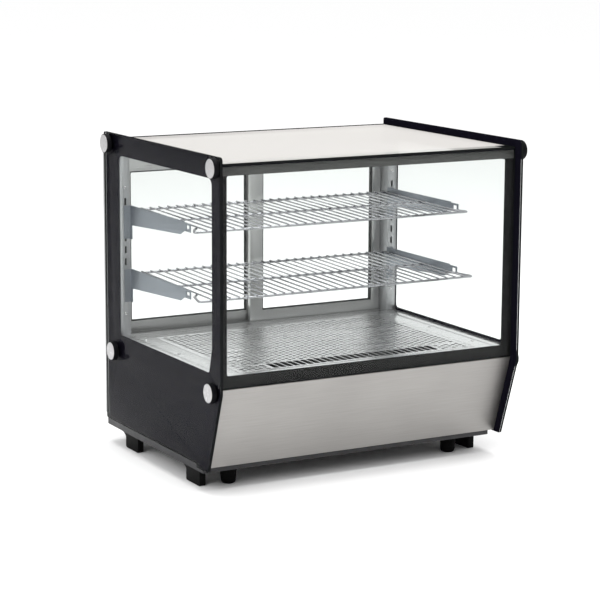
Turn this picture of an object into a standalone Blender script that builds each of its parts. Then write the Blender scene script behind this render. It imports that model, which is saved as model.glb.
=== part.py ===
"""Countertop hot food display case: a glass cabinet on a heated stainless base.

Units are metres, +Z is up, the customer stands at -Y and the server at +Y.
The origin is on the counter, under the middle of the whole case.
"""

import math

import bmesh
import bpy
from mathutils import Euler, Matrix

# Envelope of the case
HALF_WIDTH = 0.340  # outer face of each side glass
FRONT = -0.284  # front edge of the side glasses
BACK = 0.246  # rear edge of the side glasses
TOP = 0.660

# Side glasses: upright front edge, then a slope back towards the counter
GLASS = 0.005
KNEE_Z = 0.210
TOE_Y = -0.229
TOE_Z = 0.047
SKIRT_Y = -0.182  # behind this line the lower edge is raised
SKIRT_Z = 0.055
INNER = HALF_WIDTH - GLASS
PRINT = 0.0004  # black border printed on the inside of each glass
GAP = 0.0003  # between pieces that touch
CABINET = INNER - GAP - PRINT - GAP  # half width left between the prints
WINDOW = (
    (0.182, 0.616, 0.014),
    (-0.239, 0.616, 0.014),
    (-0.239, 0.292, 0.030),
    (-0.2265, 0.2435, 0.006),
    (0.182, 0.2435, 0.008),
)

# Round caps that clamp the side glasses
CAP_RADIUS = 0.0195
CAP_DEPTH = 0.011
CAP_CHAMFER = 0.0008
CAP_SPIGOT = 0.0042
CAP_HOLE = 0.0047
CAP_PLACES = {
    "top_front": (-0.2635, 0.6385),
    "top_rear": (0.222, 0.6375),
    "low_front": (-0.252, 0.210),
    "low_rear": (0.200, 0.207),
}

# Front and top glasses
FRONT_GLASS_Y = -0.264  # its front face
FRONT_GLASS_Z = (0.216, 0.640)
FRONT_WINDOW = ((-0.313, 0.2405), (0.313, 0.622))
TOP_GLASS_Z = 0.641
TOP_WINDOW = ((-0.326, -0.237), (0.326, 0.228))

# Base
SHEET = 0.0012
PAN_Z = 0.036  # underside of the base, on its feet
PAN_RIM = 0.061
PAN_FRONT = -0.192
PAN_BACK = 0.264
BASE_SIDE_X = (0.330, 0.3315)
BASE_SIDE_TOP_Y = -0.2545
BASE_SIDE_FOLD = (-0.2070, 0.070)  # its front edge runs down beside the sloping panel
BASE_SIDE_FOOT_Z = 0.0525
DECK_Z = 0.236
DECK_SHEET = 0.0015
DECK_FRONT = -0.2575
DECK_BACK = 0.2105
INSERT_X = 0.2695
INSERT_Y = (-0.229, 0.151)
INSERT_CLEARANCE = 0.001
INSERT_LEDGE = 0.006
INSERT_HOLES = (12, 7)  # columns and rows of the wide holes
INSERT_HOLE_START = (-0.242, -0.135)
INSERT_HOLE_PITCH = (0.044, 0.042)
INSERT_HOLE_HALF = (0.014, 0.009)
INSERT_SLOTS = 25
INSERT_SLOT_PITCH = 0.0156
INSERT_SLOT_Y = -0.197
INSERT_SLOT_SIZE = (0.0125, 0.046)
RIM_X = 0.307  # the side rims of the deck start here
PANEL_PATH = (
    (-0.252, 0.2155),
    (-0.264, 0.2155),
    (-0.2098, 0.050),
    (-0.203, 0.050),
)

# Rear posts, header and door tracks
POST_X = (0.3106, 0.3336)
POST_Y = (0.184, 0.266)
POST_Z = (0.0615, 0.6398)
POST_WALL = 0.0015
SLOT_X = 0.3204
SLOT_PITCH = 0.025
SLOT_COUNT = 9
SLOT_FIRST_Z = 0.320
SLOT_SIZE = (0.004, 0.014)
BAY_X = 0.310  # half width between the posts
HEADER_PATH = (
    (0.263, 0.592),
    (0.263, 0.6398),
    (0.1865, 0.6398),
    (0.1865, 0.585),
    (0.2095, 0.585),
)
TRACK_RIBS = (0.2113, 0.2272, 0.2432)
TRACK_RIB = 0.0015
SILL_Z = (0.226, 0.228, 0.2365)
HEAD_Z = (0.606, 0.604, 0.592)

# Sliding doors
DOOR_Z = (0.2285, 0.600)
DOOR_REACH = 0.3085  # outer edge of each closed door
DOOR_LAP = 0.015  # how far each meeting stile passes the middle
DOOR_THICK = 0.012
DOOR_OUTER_STILE = 0.020
DOOR_MEETING_STILE = 0.030
DOOR_RAILS = (0.030, 0.025)
DOOR_PANE = 0.004
INNER_DOOR_Y = 0.220
OUTER_DOOR_Y = 0.236
PULL_SIZE = (0.012, 0.070, 0.006)
PULL_Z = 0.415
PULL_INSET = 0.0005
PULL_LIP = 0.0015

# Wire shelves and their brackets
SHELF_TILT = math.radians(1.1)
SHELF_BACK_Y = 0.170
SHELF_DEPTH = {"upper": 0.297, "lower": 0.318}
SHELF_Z = {"upper": 0.5065, "lower": 0.3745}  # height of the rods at the back wire
SHELF_HALF = 0.304
SHELF_FRONT_HALF = 0.319  # the front wire passes in front of the brackets
SHELF_BEND = ((0.303, -0.100), (0.290, -0.084))  # where its ends turn back to the outer rods
ROD_COUNT = 30
ROD_SPAN = 0.580
ROD_RADIUS = 0.0016
ROD_TIP = 0.004
CROSS_RADIUS = 0.0025
WIRE_DROP = ROD_RADIUS + CROSS_RADIUS - 0.0008  # the rods sink a little into the cross wires
BRACKET_X = 0.3085
BRACKET_SHEET = 0.002
BRACKET_TOP = 0.0058  # its level top edge above the rods at the back wire
BRACKET_FRONT_Y = -0.070
BRACKET_BACK_DROP = 0.041
BRACKET_TOE = (-0.052, -0.028)  # its lowest front corner, by Y and by height from the top edge
LIP_WIDTH = 0.010
LIP_SET = 0.0005  # joined sheets overlap a little, so that they weld into one solid
TAIL_WIDTH = 0.008
TAIL_DROP = 0.070
HOOK_SIZE = (0.002, 0.008)
HOOK_REACH = 0.008
HOOK_MARGIN = 0.003
LUG_FRONT_Y = -0.098
LUG_Z = (-0.019, -0.002)  # by height from the top edge
LUG_EYE = ((-0.093, -0.015), (-0.080, -0.006))

# Feet
BLADE_X = (0.308, 0.321)
BLADE_FRONT = {"front": -0.156, "rear": 0.132}
BLADE_LENGTH = 0.060
BLADE_FLARE = 0.022
BLADE_HEEL_Z = 0.024
ROUND_FOOT_X = 0.257
ROUND_FOOT_Y = {"front": -0.154, "rear": 0.164}
ROUND_FOOT_PROFILE = (
    (0.0, 0.0357),
    (0.0172, 0.0357),
    (0.0168, 0.026),
    (0.0155, 0.007),
    (0.0120, 0.0),
    (0.0, 0.0),
)

# Rear panel and controls
REAR_PANEL_Y = 0.2605
REAR_PANEL_Z = (0.0615, 0.2255)
CONTROL_X = (0.060, 0.250)
CONTROL_Z = (0.128, 0.190)
CONTROL_Y = (0.2618, 0.2678)
CONTROL_CUTOUT = ((0.070, 0.1370), (0.243, 0.181))
CONTROLLER_BOX = ((0.078, 0.200, 0.142), (0.186, 0.2619, 0.176))
BUTTON_SIZE = (0.010, 0.007)
BUTTON_Y = (0.2635, 0.2692)
BUTTONS = {"button_set": 0.146, "button_down": 0.160, "button_up": 0.174}
BUTTON_Z = 0.159
BUTTON_CLEARANCE = 0.0003
ROCKERS = {"lamp_rocker": 0.204, "power_rocker": 0.228}
ROCKER_HOLE = (0.0140, 0.0200)
ROCKER_WIDTH = 0.0132
ROCKER_PIVOT = (0.2648, 0.159)
ROCKER_REST = math.radians(-8.0)
ROCKER_OUTLINE = (
    (0.0056, -0.0085),
    (0.0036, 0.0),
    (0.0056, 0.0085),
    (0.0, 0.0085),
    (-0.0030, 0.0040),
    (-0.0030, -0.0040),
    (0.0, -0.0085),
)
VENT_GROUPS = (-0.170, -0.055)
VENT_SIZE = (0.080, 0.004)
VENT_ROWS = 6
VENT_PITCH = 0.011
VENT_LOW_Z = 0.112
GLAND_X = -0.265
GLAND_Z = 0.100
GLAND_HOLE = 0.0085
GLAND_PROFILE = (
    (0.0, 0.0235),
    (0.0065, 0.0235),
    (0.0085, 0.016),
    (0.0125, 0.015),
    (0.0125, GAP),
    (0.0080, GAP),
    (0.0080, -0.010),
    (0.0, -0.010),
)

# Circulation fan, heater and lamp
FAN_CENTRE = (0.0, 0.079, 0.0978)  # its housing stands on the floor of the pan
FAN_SIZE = 0.120
FAN_DEPTH = 0.038
FAN_BORE = 0.056
FAN_HUB = 0.024
FAN_TIP = 0.0535
FAN_STRUT = 0.004
FAN_STRUT_ROOT = 0.0055
FAN_STEP = 0.001
FAN_CORNER = 0.008
FAN_BLADES = 7
ROTOR_HUB_Y = (-0.015, 0.012)
ROTOR_BLADE = (0.026, 0.0022)
ROTOR_BLADE_ROOT = 0.003  # how far each blade is sunk in the hub
ROTOR_BLADE_Y = -0.0015
ROTOR_PITCH = math.radians(48.0)
HEATER_Z = 0.110
HEATER_ROWS = (-0.020, -0.062, -0.104)
HEATER_REACH = 0.240
HEATER_RADIUS = 0.004
LAMP_X = 0.300
LAMP_Y = (-0.2575, -0.2395)
LAMP_Z = (0.6265, 0.6398)
LENS_THICK = 0.004

COLLECTION = "hot_food_display_case"


def clear_scene():
    """Empties the file that the script runs in."""
    for obj in list(bpy.data.objects):
        bpy.data.objects.remove(obj, do_unlink=True)
    for name in (COLLECTION, "cutters"):
        bpy.context.scene.collection.children.link(bpy.data.collections.new(name))


def finish(name, colour, roughness, metallic=0.0, alpha=1.0):
    """A Principled material."""
    mat = bpy.data.materials.new(name)
    mat.use_nodes = True
    shader = mat.node_tree.nodes["Principled BSDF"]
    shader.inputs["Base Color"].default_value = (*colour, 1.0)
    shader.inputs["Roughness"].default_value = roughness
    shader.inputs["Metallic"].default_value = metallic
    shader.inputs["Alpha"].default_value = alpha
    mat.diffuse_color = (*colour, alpha)
    return mat


def clear_glass(name):
    """A clear tempered glass finish."""
    return finish(name, (0.90, 0.95, 0.93), 0.03, 0.0, 0.25)


def black_print(name):
    """The glossy black border of the glasses."""
    return finish(name, (0.035, 0.033, 0.042), 0.12)


def stainless(name):
    """Brushed stainless sheet."""
    return finish(name, (0.62, 0.61, 0.59), 0.28, 1.0)


def black_plastic(name):
    """Moulded black plastic or rubber."""
    return finish(name, (0.015, 0.015, 0.016), 0.55)


def place(obj, mat):
    """Puts a finished piece in the object's collection with its material."""
    bpy.data.collections[COLLECTION].objects.link(obj)
    if mat:
        obj.data.materials.clear()
        obj.data.materials.append(mat)
    return obj


def as_cutter(obj):
    """Moves a helper solid to the cutters."""
    for owner in list(obj.users_collection):
        owner.objects.unlink(obj)
    bpy.data.collections["cutters"].objects.link(obj)
    obj.hide_render = True
    obj.display_type = "WIRE"
    return obj


def boolean(obj, tool, operation):
    """Cuts or joins a piece with a helper solid."""
    modifier = obj.modifiers.new(operation.lower(), "BOOLEAN")
    modifier.operation = operation
    modifier.solver = "EXACT"
    modifier.object = as_cutter(tool)


def boxes(name, spans, mat=None):
    """One mesh holding a box for each (low corner, high corner)."""
    mesh = bpy.data.meshes.new(name)
    bm = bmesh.new()
    for low, high in spans:
        made = bmesh.ops.create_cube(bm, size=1.0)["verts"]
        size = [b - a for a, b in zip(low, high)]
        middle = [(a + b) / 2 for a, b in zip(low, high)]
        bmesh.ops.scale(bm, vec=size, verts=made)
        bmesh.ops.translate(bm, vec=middle, verts=made)
    bm.to_mesh(mesh)
    bm.free()
    return place(bpy.data.objects.new(name, mesh), mat)


def arc(centre, radius, start, end, steps):
    """Points along an arc, both ends included; angles in radians."""
    turns = [start + (end - start) * i / steps for i in range(steps + 1)]
    return [(centre[0] + radius * math.cos(t), centre[1] + radius * math.sin(t)) for t in turns]


def circle(centre, radius, steps):
    """A closed loop of points round a circle."""
    return arc(centre, radius, 0.0, math.tau * (steps - 1) / steps, steps - 1)


def rectangle(low, high):
    """The four corners of an upright rectangle."""
    return [(low[0], low[1]), (high[0], low[1]), (high[0], high[1]), (low[0], high[1])]


def rounded(corners, steps=4):
    """A loop through (x, y, radius) corners, each replaced by an arc that touches both sides."""
    loop = []
    count = len(corners)
    for i, (x, y, radius) in enumerate(corners):
        back = (corners[i - 1][0] - x, corners[i - 1][1] - y)
        ahead = (corners[(i + 1) % count][0] - x, corners[(i + 1) % count][1] - y)
        back_angle = math.atan2(back[1], back[0])
        opening = math.atan2(ahead[1], ahead[0]) - back_angle
        opening = (opening + math.pi) % math.tau - math.pi
        middle = back_angle + opening / 2
        reach = radius / math.sin(abs(opening) / 2)
        centre = (x + reach * math.cos(middle), y + reach * math.sin(middle))
        half_turn = (math.pi - abs(opening)) / 2 * math.copysign(1.0, opening)
        facing = middle + math.pi
        loop += arc(centre, radius, facing + half_turn, facing - half_turn, steps)
    return loop


def rounded_rectangle(low, high, radius, steps=3):
    """A rectangle with round corners."""
    return rounded([(x, y, radius) for x, y in rectangle(low, high)], steps)


def slot_loop(centre, width, length, steps=4):
    """An upright slot with round ends."""
    x, y = centre
    radius = width / 2
    reach = length / 2 - radius
    upper = arc((x, y + reach), radius, 0.0, math.pi, steps)
    lower = arc((x, y - reach), radius, math.pi, math.tau, steps)
    return upper + lower


def folded(path, thickness):
    """The outline of a folded sheet: the path, and the path offset to its left."""
    offset = []
    for i, (x, y) in enumerate(path):
        before = path[max(i - 1, 0)]
        after = path[min(i + 1, len(path) - 1)]
        into = math.atan2(y - before[1], x - before[0]) if i else None
        out = math.atan2(after[1] - y, after[0] - x) if i < len(path) - 1 else into
        into = out if into is None else into
        turn = (out - into + math.pi) % math.tau - math.pi
        normal = into + turn / 2 + math.pi / 2
        reach = thickness / math.cos(turn / 2)
        offset.append((x + reach * math.cos(normal), y + reach * math.sin(normal)))
    return list(path) + offset[::-1]


def slab(name, plane, span, loops, mat=None):
    """A flat outline with holes, given in a plane and filling a span across it.

    The loops are (Y, Z) points for plane "X", (X, Z) for "Y" and (X, Y) for "Z".
    """
    curve = bpy.data.curves.new(name, "CURVE")
    curve.dimensions = "2D"
    curve.fill_mode = "BOTH"
    curve.extrude = (span[1] - span[0]) / 2
    for loop in loops:
        spline = curve.splines.new("POLY")
        spline.points.add(len(loop) - 1)
        for point, (a, b) in zip(spline.points, loop):
            point.co = (a, b, 0.0, 1.0)
        spline.use_cyclic_u = True
    obj = bpy.data.objects.new(name, curve)
    middle = (span[0] + span[1]) / 2
    quarter = math.pi / 2
    turns = {"X": (quarter, 0.0, quarter), "Y": (quarter, 0.0, 0.0), "Z": (0.0, 0.0, 0.0)}
    obj.rotation_euler = Euler(turns[plane])
    obj.location = [middle if axis == plane else 0.0 for axis in "XYZ"]
    return place(obj, mat)


def wire(name, points, radius, mat=None, resolution=1):
    """A round wire along straight stretches between the points."""
    curve = bpy.data.curves.new(name, "CURVE")
    curve.dimensions = "3D"
    curve.bevel_depth = radius
    curve.bevel_resolution = resolution
    curve.use_fill_caps = True
    spline = curve.splines.new("POLY")
    spline.points.add(len(points) - 1)
    for point, co in zip(spline.points, points):
        point.co = (*co, 1.0)
    return place(bpy.data.objects.new(name, curve), mat)


def to_mesh(obj, mat=None):
    """Swaps a curve object for a closed mesh in the same place."""
    bpy.context.view_layer.update()
    depsgraph = bpy.context.evaluated_depsgraph_get()
    mesh = bpy.data.meshes.new_from_object(obj.evaluated_get(depsgraph))
    bm = bmesh.new()
    bm.from_mesh(mesh)
    bmesh.ops.remove_doubles(bm, verts=bm.verts, dist=1e-6)
    bmesh.ops.recalc_face_normals(bm, faces=bm.faces)
    bm.to_mesh(mesh)
    bm.free()
    name = obj.name
    matrix = obj.matrix_world.copy()
    bpy.data.objects.remove(obj, do_unlink=True)
    made = bpy.data.objects.new(name, mesh)
    made.matrix_world = matrix
    return place(made, mat)


def turned(name, profile, mat=None, steps=24):
    """A turned piece about Z from (radius, height) points, top to bottom on the outside."""
    mesh = bpy.data.meshes.new(name)
    bm = bmesh.new()
    verts = [bm.verts.new((r, 0.0, z)) for r, z in profile]
    for a, b in zip(verts, verts[1:]):
        bm.edges.new((a, b))
    bm.to_mesh(mesh)
    bm.free()
    obj = bpy.data.objects.new(name, mesh)
    screw = obj.modifiers.new("turn", "SCREW")
    screw.steps = steps
    screw.render_steps = steps
    screw.use_merge_vertices = True
    screw.merge_threshold = 0.00001
    screw.use_smooth_shade = False
    weld = obj.modifiers.new("weld", "WELD")
    weld.merge_threshold = 0.00001
    return place(obj, mat)


def side_outline():
    """The edge of a side glass in (Y, Z)."""
    corners = (
        (BACK, TOP, 0.005),
        (FRONT, TOP, 0.007),
        (FRONT, KNEE_Z, 0.012),
        (TOE_Y, TOE_Z, 0.004),
        (SKIRT_Y, TOE_Z, 0.002),
        (SKIRT_Y, SKIRT_Z, 0.002),
        (BACK, SKIRT_Z, 0.005),
    )
    return rounded(corners)


def build_side_glass(side, sign):
    """A side glass with its cap holes, and the black print on its inner face."""
    holes = [circle(place_yz, CAP_HOLE, 12) for place_yz in CAP_PLACES.values()]
    span = sorted((sign * INNER, sign * HALF_WIDTH))
    slab(f"side_glass_{side}", "X", span, [side_outline()] + holes, clear_glass(f"side_glass_{side}"))
    face = INNER - GAP
    print_span = sorted((sign * face, sign * (face - PRINT)))
    loops = [side_outline(), rounded(WINDOW)]
    slab(f"side_border_{side}", "X", print_span, loops, black_print(f"side_border_{side}"))


def build_caps(side, sign):
    """The round caps outside one side glass, each with a spigot in its hole."""
    profile = (
        (0.0, CAP_DEPTH),
        (CAP_RADIUS - CAP_CHAMFER, CAP_DEPTH),
        (CAP_RADIUS, CAP_DEPTH - CAP_CHAMFER),
        (CAP_RADIUS, GAP),
        (CAP_SPIGOT, GAP),
        (CAP_SPIGOT, -GLASS + GAP),
        (0.0, -GLASS + GAP),
    )
    for name, (y, z) in CAP_PLACES.items():
        node = f"cap_{side}_{name}"
        cap = turned(node, profile, finish(node, (0.66, 0.65, 0.64), 0.3, 1.0))
        cap.rotation_euler = (0.0, sign * math.pi / 2, 0.0)
        cap.location = (sign * HALF_WIDTH, y, z)


def build_front_and_top_glass():
    """The front glass, the top glass that rests on it, and their prints."""
    low_z, high_z = FRONT_GLASS_Z
    pane = rectangle((-CABINET, low_z), (CABINET, high_z))
    back_face = FRONT_GLASS_Y + GLASS
    slab("front_glass", "Y", (FRONT_GLASS_Y, back_face), [pane], clear_glass("front_glass"))
    window = rounded_rectangle(*FRONT_WINDOW, 0.004)
    span = (back_face + GAP, back_face + GAP + PRINT)
    slab("front_border", "Y", span, [pane, window], black_print("front_border"))
    pane = rectangle((-CABINET, FRONT_GLASS_Y), (CABINET, BACK))
    slab("top_glass", "Z", (TOP_GLASS_Z, TOP_GLASS_Z + GLASS), [pane], clear_glass("top_glass"))
    window = rounded_rectangle(*TOP_WINDOW, 0.004)
    span = (TOP_GLASS_Z - GAP - PRINT, TOP_GLASS_Z - GAP)
    slab("top_border", "Z", span, [pane, window], black_print("top_border"))


def build_front_panel():
    """The sloping stainless panel under the front glass."""
    outline = folded(PANEL_PATH, SHEET)
    slab("front_panel", "X", (-CABINET, CABINET), [outline], stainless("front_panel"))


def build_base():
    """The pan that everything stands on, and the side sheets that carry the deck."""
    wall = BASE_SIDE_X[0] - GAP
    pan = boxes("base_pan", [((-wall, PAN_FRONT, PAN_Z), (wall, PAN_BACK, PAN_RIM))])
    pan.data.materials.append(finish("base_pan", (0.02, 0.02, 0.022), 0.45))
    inside = wall - SHEET
    low = (-inside, PAN_FRONT + SHEET, PAN_Z + SHEET)
    high = (inside, PAN_BACK - SHEET, PAN_RIM + SHEET)
    boolean(pan, boxes("pan_hollow", [(low, high)]), "DIFFERENCE")
    under_deck = DECK_Z - DECK_SHEET - 2 * GAP - DECK_SHEET
    outline = (
        (PAN_FRONT, PAN_Z + GAP),
        (POST_Y[0] - GAP, PAN_Z + GAP),
        (POST_Y[0] - GAP, under_deck),
        (BASE_SIDE_TOP_Y, under_deck),
        BASE_SIDE_FOLD,
        (BASE_SIDE_FOLD[0], BASE_SIDE_FOOT_Z),
        (PAN_FRONT, BASE_SIDE_FOOT_Z),
    )
    for side, sign in (("left", -1), ("right", 1)):
        span = sorted(sign * x for x in BASE_SIDE_X)
        node = f"base_side_{side}"
        slab(node, "X", span, [outline], finish(node, (0.03, 0.03, 0.034), 0.4))


def build_deck():
    """The polished deck frame with raised side rims, and the perforated insert in it."""
    notch = BAY_X
    outline = [
        (-CABINET, DECK_FRONT),
        (CABINET, DECK_FRONT),
        (CABINET, POST_Y[0] - GAP),
        (notch, POST_Y[0] - GAP),
        (notch, DECK_BACK),
        (-notch, DECK_BACK),
        (-notch, POST_Y[0] - GAP),
        (-CABINET, POST_Y[0] - GAP),
    ]
    margin = INSERT_CLEARANCE
    hole = rectangle(
        (-INSERT_X - margin, INSERT_Y[0] - margin), (INSERT_X + margin, INSERT_Y[1] + margin)
    )
    frame = slab("deck_frame", "Z", (DECK_Z - DECK_SHEET, DECK_Z), [outline, hole])
    frame = to_mesh(frame, finish("deck_frame", (0.75, 0.75, 0.74), 0.12, 1.0))
    ledge = INSERT_LEDGE
    outer = rectangle(
        (-INSERT_X - ledge, INSERT_Y[0] - ledge), (INSERT_X + ledge, INSERT_Y[1] + ledge)
    )
    inner = rectangle(
        (-INSERT_X + ledge, INSERT_Y[0] + ledge), (INSERT_X - ledge, INSERT_Y[1] - ledge)
    )
    below = DECK_Z - DECK_SHEET
    ring = slab("deck_ledge", "Z", (below - DECK_SHEET, below + DECK_SHEET / 3), [outer, inner])
    boolean(frame, to_mesh(ring), "UNION")
    rims = []
    for sign in (-1, 1):
        xs = sorted((sign * RIM_X, sign * (CABINET - 0.0001)))
        low = (xs[0], DECK_FRONT + 0.001, DECK_Z - DECK_SHEET / 3)
        high = (xs[1], POST_Y[0] - GAP - 0.001, DECK_Z + DECK_SHEET)
        rims.append((low, high))
    boolean(frame, boxes("deck_rims", rims), "UNION")
    holes = []
    half = INSERT_HOLE_HALF
    for row in range(INSERT_HOLES[1]):
        for column in range(INSERT_HOLES[0]):
            x = INSERT_HOLE_START[0] + INSERT_HOLE_PITCH[0] * column
            y = INSERT_HOLE_START[1] + INSERT_HOLE_PITCH[1] * row
            holes.append(rectangle((x - half[0], y - half[1]), (x + half[0], y + half[1])))
    for i in range(INSERT_SLOTS):
        x = (i - (INSERT_SLOTS - 1) / 2) * INSERT_SLOT_PITCH
        holes.append(slot_loop((x, INSERT_SLOT_Y), *INSERT_SLOT_SIZE, 3))
    edge = rectangle((-INSERT_X, INSERT_Y[0]), (INSERT_X, INSERT_Y[1]))
    rest = below + DECK_SHEET / 3 + GAP
    span = (rest, rest + SHEET)
    slab("deck_insert", "Z", span, [edge] + holes, stainless("deck_insert"))


def build_feet():
    """Four blade feet at the corners and four round rubber feet inside them."""
    top = PAN_Z - GAP
    for depth, front in BLADE_FRONT.items():
        back = front + BLADE_LENGTH
        outline = rounded(
            (
                (front, 0.0, 0.003),
                (back, 0.0, 0.004),
                (back, BLADE_HEEL_Z, 0.006),
                (back + BLADE_FLARE, top, 0.0005),
                (front, top, 0.0005),
            ),
            2,
        )
        for side, sign in (("left", -1), ("right", 1)):
            span = sorted(sign * x for x in BLADE_X)
            node = f"blade_foot_{depth}_{side}"
            slab(node, "X", span, [outline], black_plastic(node))
            node = f"round_foot_{depth}_{side}"
            foot = turned(node, ROUND_FOOT_PROFILE, black_plastic(node), 20)
            foot.location = (sign * ROUND_FOOT_X, ROUND_FOOT_Y[depth], 0.0)


def build_posts():
    """The slotted rear posts, the header over the doors and the door tracks."""
    for side, sign in (("left", -1), ("right", 1)):
        xs = sorted(sign * x for x in POST_X)
        outer = rectangle((xs[0], POST_Y[0]), (xs[1], POST_Y[1]))
        inner = rectangle(
            (xs[0] + POST_WALL, POST_Y[0] + POST_WALL), (xs[1] - POST_WALL, POST_Y[1] - POST_WALL)
        )
        node = f"rear_post_{side}"
        post = to_mesh(slab(node, "Z", POST_Z, [outer, inner]), stainless(node))
        spans = []
        for i in range(SLOT_COUNT):
            z = SLOT_FIRST_Z + i * SLOT_PITCH
            x = sign * SLOT_X
            low = (x - SLOT_SIZE[0] / 2, POST_Y[0] - POST_WALL, z - SLOT_SIZE[1] / 2)
            high = (x + SLOT_SIZE[0] / 2, POST_Y[0] + POST_WALL * 2, z + SLOT_SIZE[1] / 2)
            spans.append((low, high))
        boolean(post, boxes(f"post_slots_{side}", spans), "DIFFERENCE")
    outline = folded(HEADER_PATH, SHEET)
    slab("rear_header", "X", (-BAY_X, BAY_X), [outline], stainless("rear_header"))
    for name, levels in (("door_sill", SILL_Z), ("door_head", HEAD_Z)):
        mat = finish(name, (0.5, 0.5, 0.5), 0.35, 1.0)
        slab(name, "X", (-BAY_X, BAY_X), [track_outline(levels)], mat)


def track_outline(levels):
    """The comb section of a door track: a plate with ribs that leave a groove for each door."""
    far, near, tip = levels
    loop = [(TRACK_RIBS[0], far)]
    for y in TRACK_RIBS:
        loop += [(y, tip), (y + TRACK_RIB, tip)]
        loop += [(y + TRACK_RIB, near)]
        loop += [] if y == TRACK_RIBS[-1] else [(TRACK_RIBS[TRACK_RIBS.index(y) + 1], near)]
    loop[-1] = (TRACK_RIBS[-1] + TRACK_RIB, far)
    return loop


def build_door(name, sign, y):
    """A sliding door: frame, pane and flush pull. Its outer edge is on the side of the sign."""
    xs = sorted((sign * DOOR_REACH, -sign * DOOR_LAP))
    left = DOOR_OUTER_STILE if sign < 0 else DOOR_MEETING_STILE
    right = DOOR_MEETING_STILE if sign < 0 else DOOR_OUTER_STILE
    low = (xs[0] + left, DOOR_Z[0] + DOOR_RAILS[0])
    high = (xs[1] - right, DOOR_Z[1] - DOOR_RAILS[1])
    faces = (y - DOOR_THICK / 2, y + DOOR_THICK / 2)
    outer = rectangle((xs[0], DOOR_Z[0]), (xs[1], DOOR_Z[1]))
    frame = slab(f"{name}_frame", "Y", faces, [outer, rectangle(low, high)])
    frame = to_mesh(frame, finish(f"{name}_frame", (0.55, 0.55, 0.56), 0.32, 1.0))
    pane = (y - DOOR_PANE / 2, y + DOOR_PANE / 2)
    edge = rectangle((low[0] + GAP, low[1] + GAP), (high[0] - GAP, high[1] - GAP))
    slab(f"{name}_glass", "Y", pane, [edge], clear_glass(f"{name}_glass"))
    build_pull(name, frame, sign * (DOOR_REACH - DOOR_OUTER_STILE / 2), faces[1])


def build_pull(name, frame, x, face):
    """A finger cup let into the outer stile from the server's side."""
    width, height, depth = PULL_SIZE
    low = (x - width / 2, face - depth, PULL_Z - height / 2)
    high = (x + width / 2, face + depth, PULL_Z + height / 2)
    boolean(frame, boxes(f"{name}_pocket", [(low, high)]), "DIFFERENCE")
    cup_low = [a + PULL_INSET for a in low]
    cup_high = [high[0] - PULL_INSET, face, high[2] - PULL_INSET]
    cup = boxes(f"{name}_pull", [(cup_low, cup_high)], black_plastic(f"{name}_pull"))
    dip_low = [a + PULL_LIP for a in cup_low]
    dip_high = [cup_high[0] - PULL_LIP, face + depth, cup_high[2] - PULL_LIP]
    boolean(cup, boxes(f"{name}_dip", [(dip_low, dip_high)]), "DIFFERENCE")


def build_shelf(level):
    """A wire shelf: rods from front to back on cross wires, tilted towards the customer."""
    depth = SHELF_DEPTH[level]
    rods = []
    for i in range(ROD_COUNT):
        x = -ROD_SPAN / 2 + ROD_SPAN * i / (ROD_COUNT - 1)
        low = (x - ROD_RADIUS, -depth - ROD_TIP, -ROD_RADIUS)
        rods.append((low, (x + ROD_RADIUS, ROD_TIP, ROD_RADIUS)))
    name = f"{level}_shelf"
    shelf = boxes(name, rods, finish(name, (0.72, 0.72, 0.73), 0.12, 1.0))
    crosses = []
    span = (-WIRE_DROP - CROSS_RADIUS, -WIRE_DROP + CROSS_RADIUS)
    for y in (0.0, -depth / 2):
        low = (-SHELF_HALF, y - CROSS_RADIUS, span[0])
        crosses.append((low, (SHELF_HALF, y + CROSS_RADIUS, span[1])))
    half = [(x, y - SHELF_BACK_Y) for x, y in SHELF_BEND[::-1]]
    half.append((SHELF_FRONT_HALF, -depth + CROSS_RADIUS))
    path = half + [(-x, y) for x, y in half[::-1]]
    front = to_mesh(slab(f"{level}_front_wire", "Z", span, [folded(path[::-1], CROSS_RADIUS * 2)]))
    front.data.transform(Matrix.Translation(front.location))
    tool = boxes(f"{level}_cross_wires", crosses)
    for piece in (shelf, front, tool):
        piece.location = (0.0, SHELF_BACK_Y, SHELF_Z[level])
        piece.rotation_euler = (SHELF_TILT, 0.0, 0.0)
    boolean(shelf, tool, "UNION")
    boolean(shelf, front, "UNION")


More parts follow.
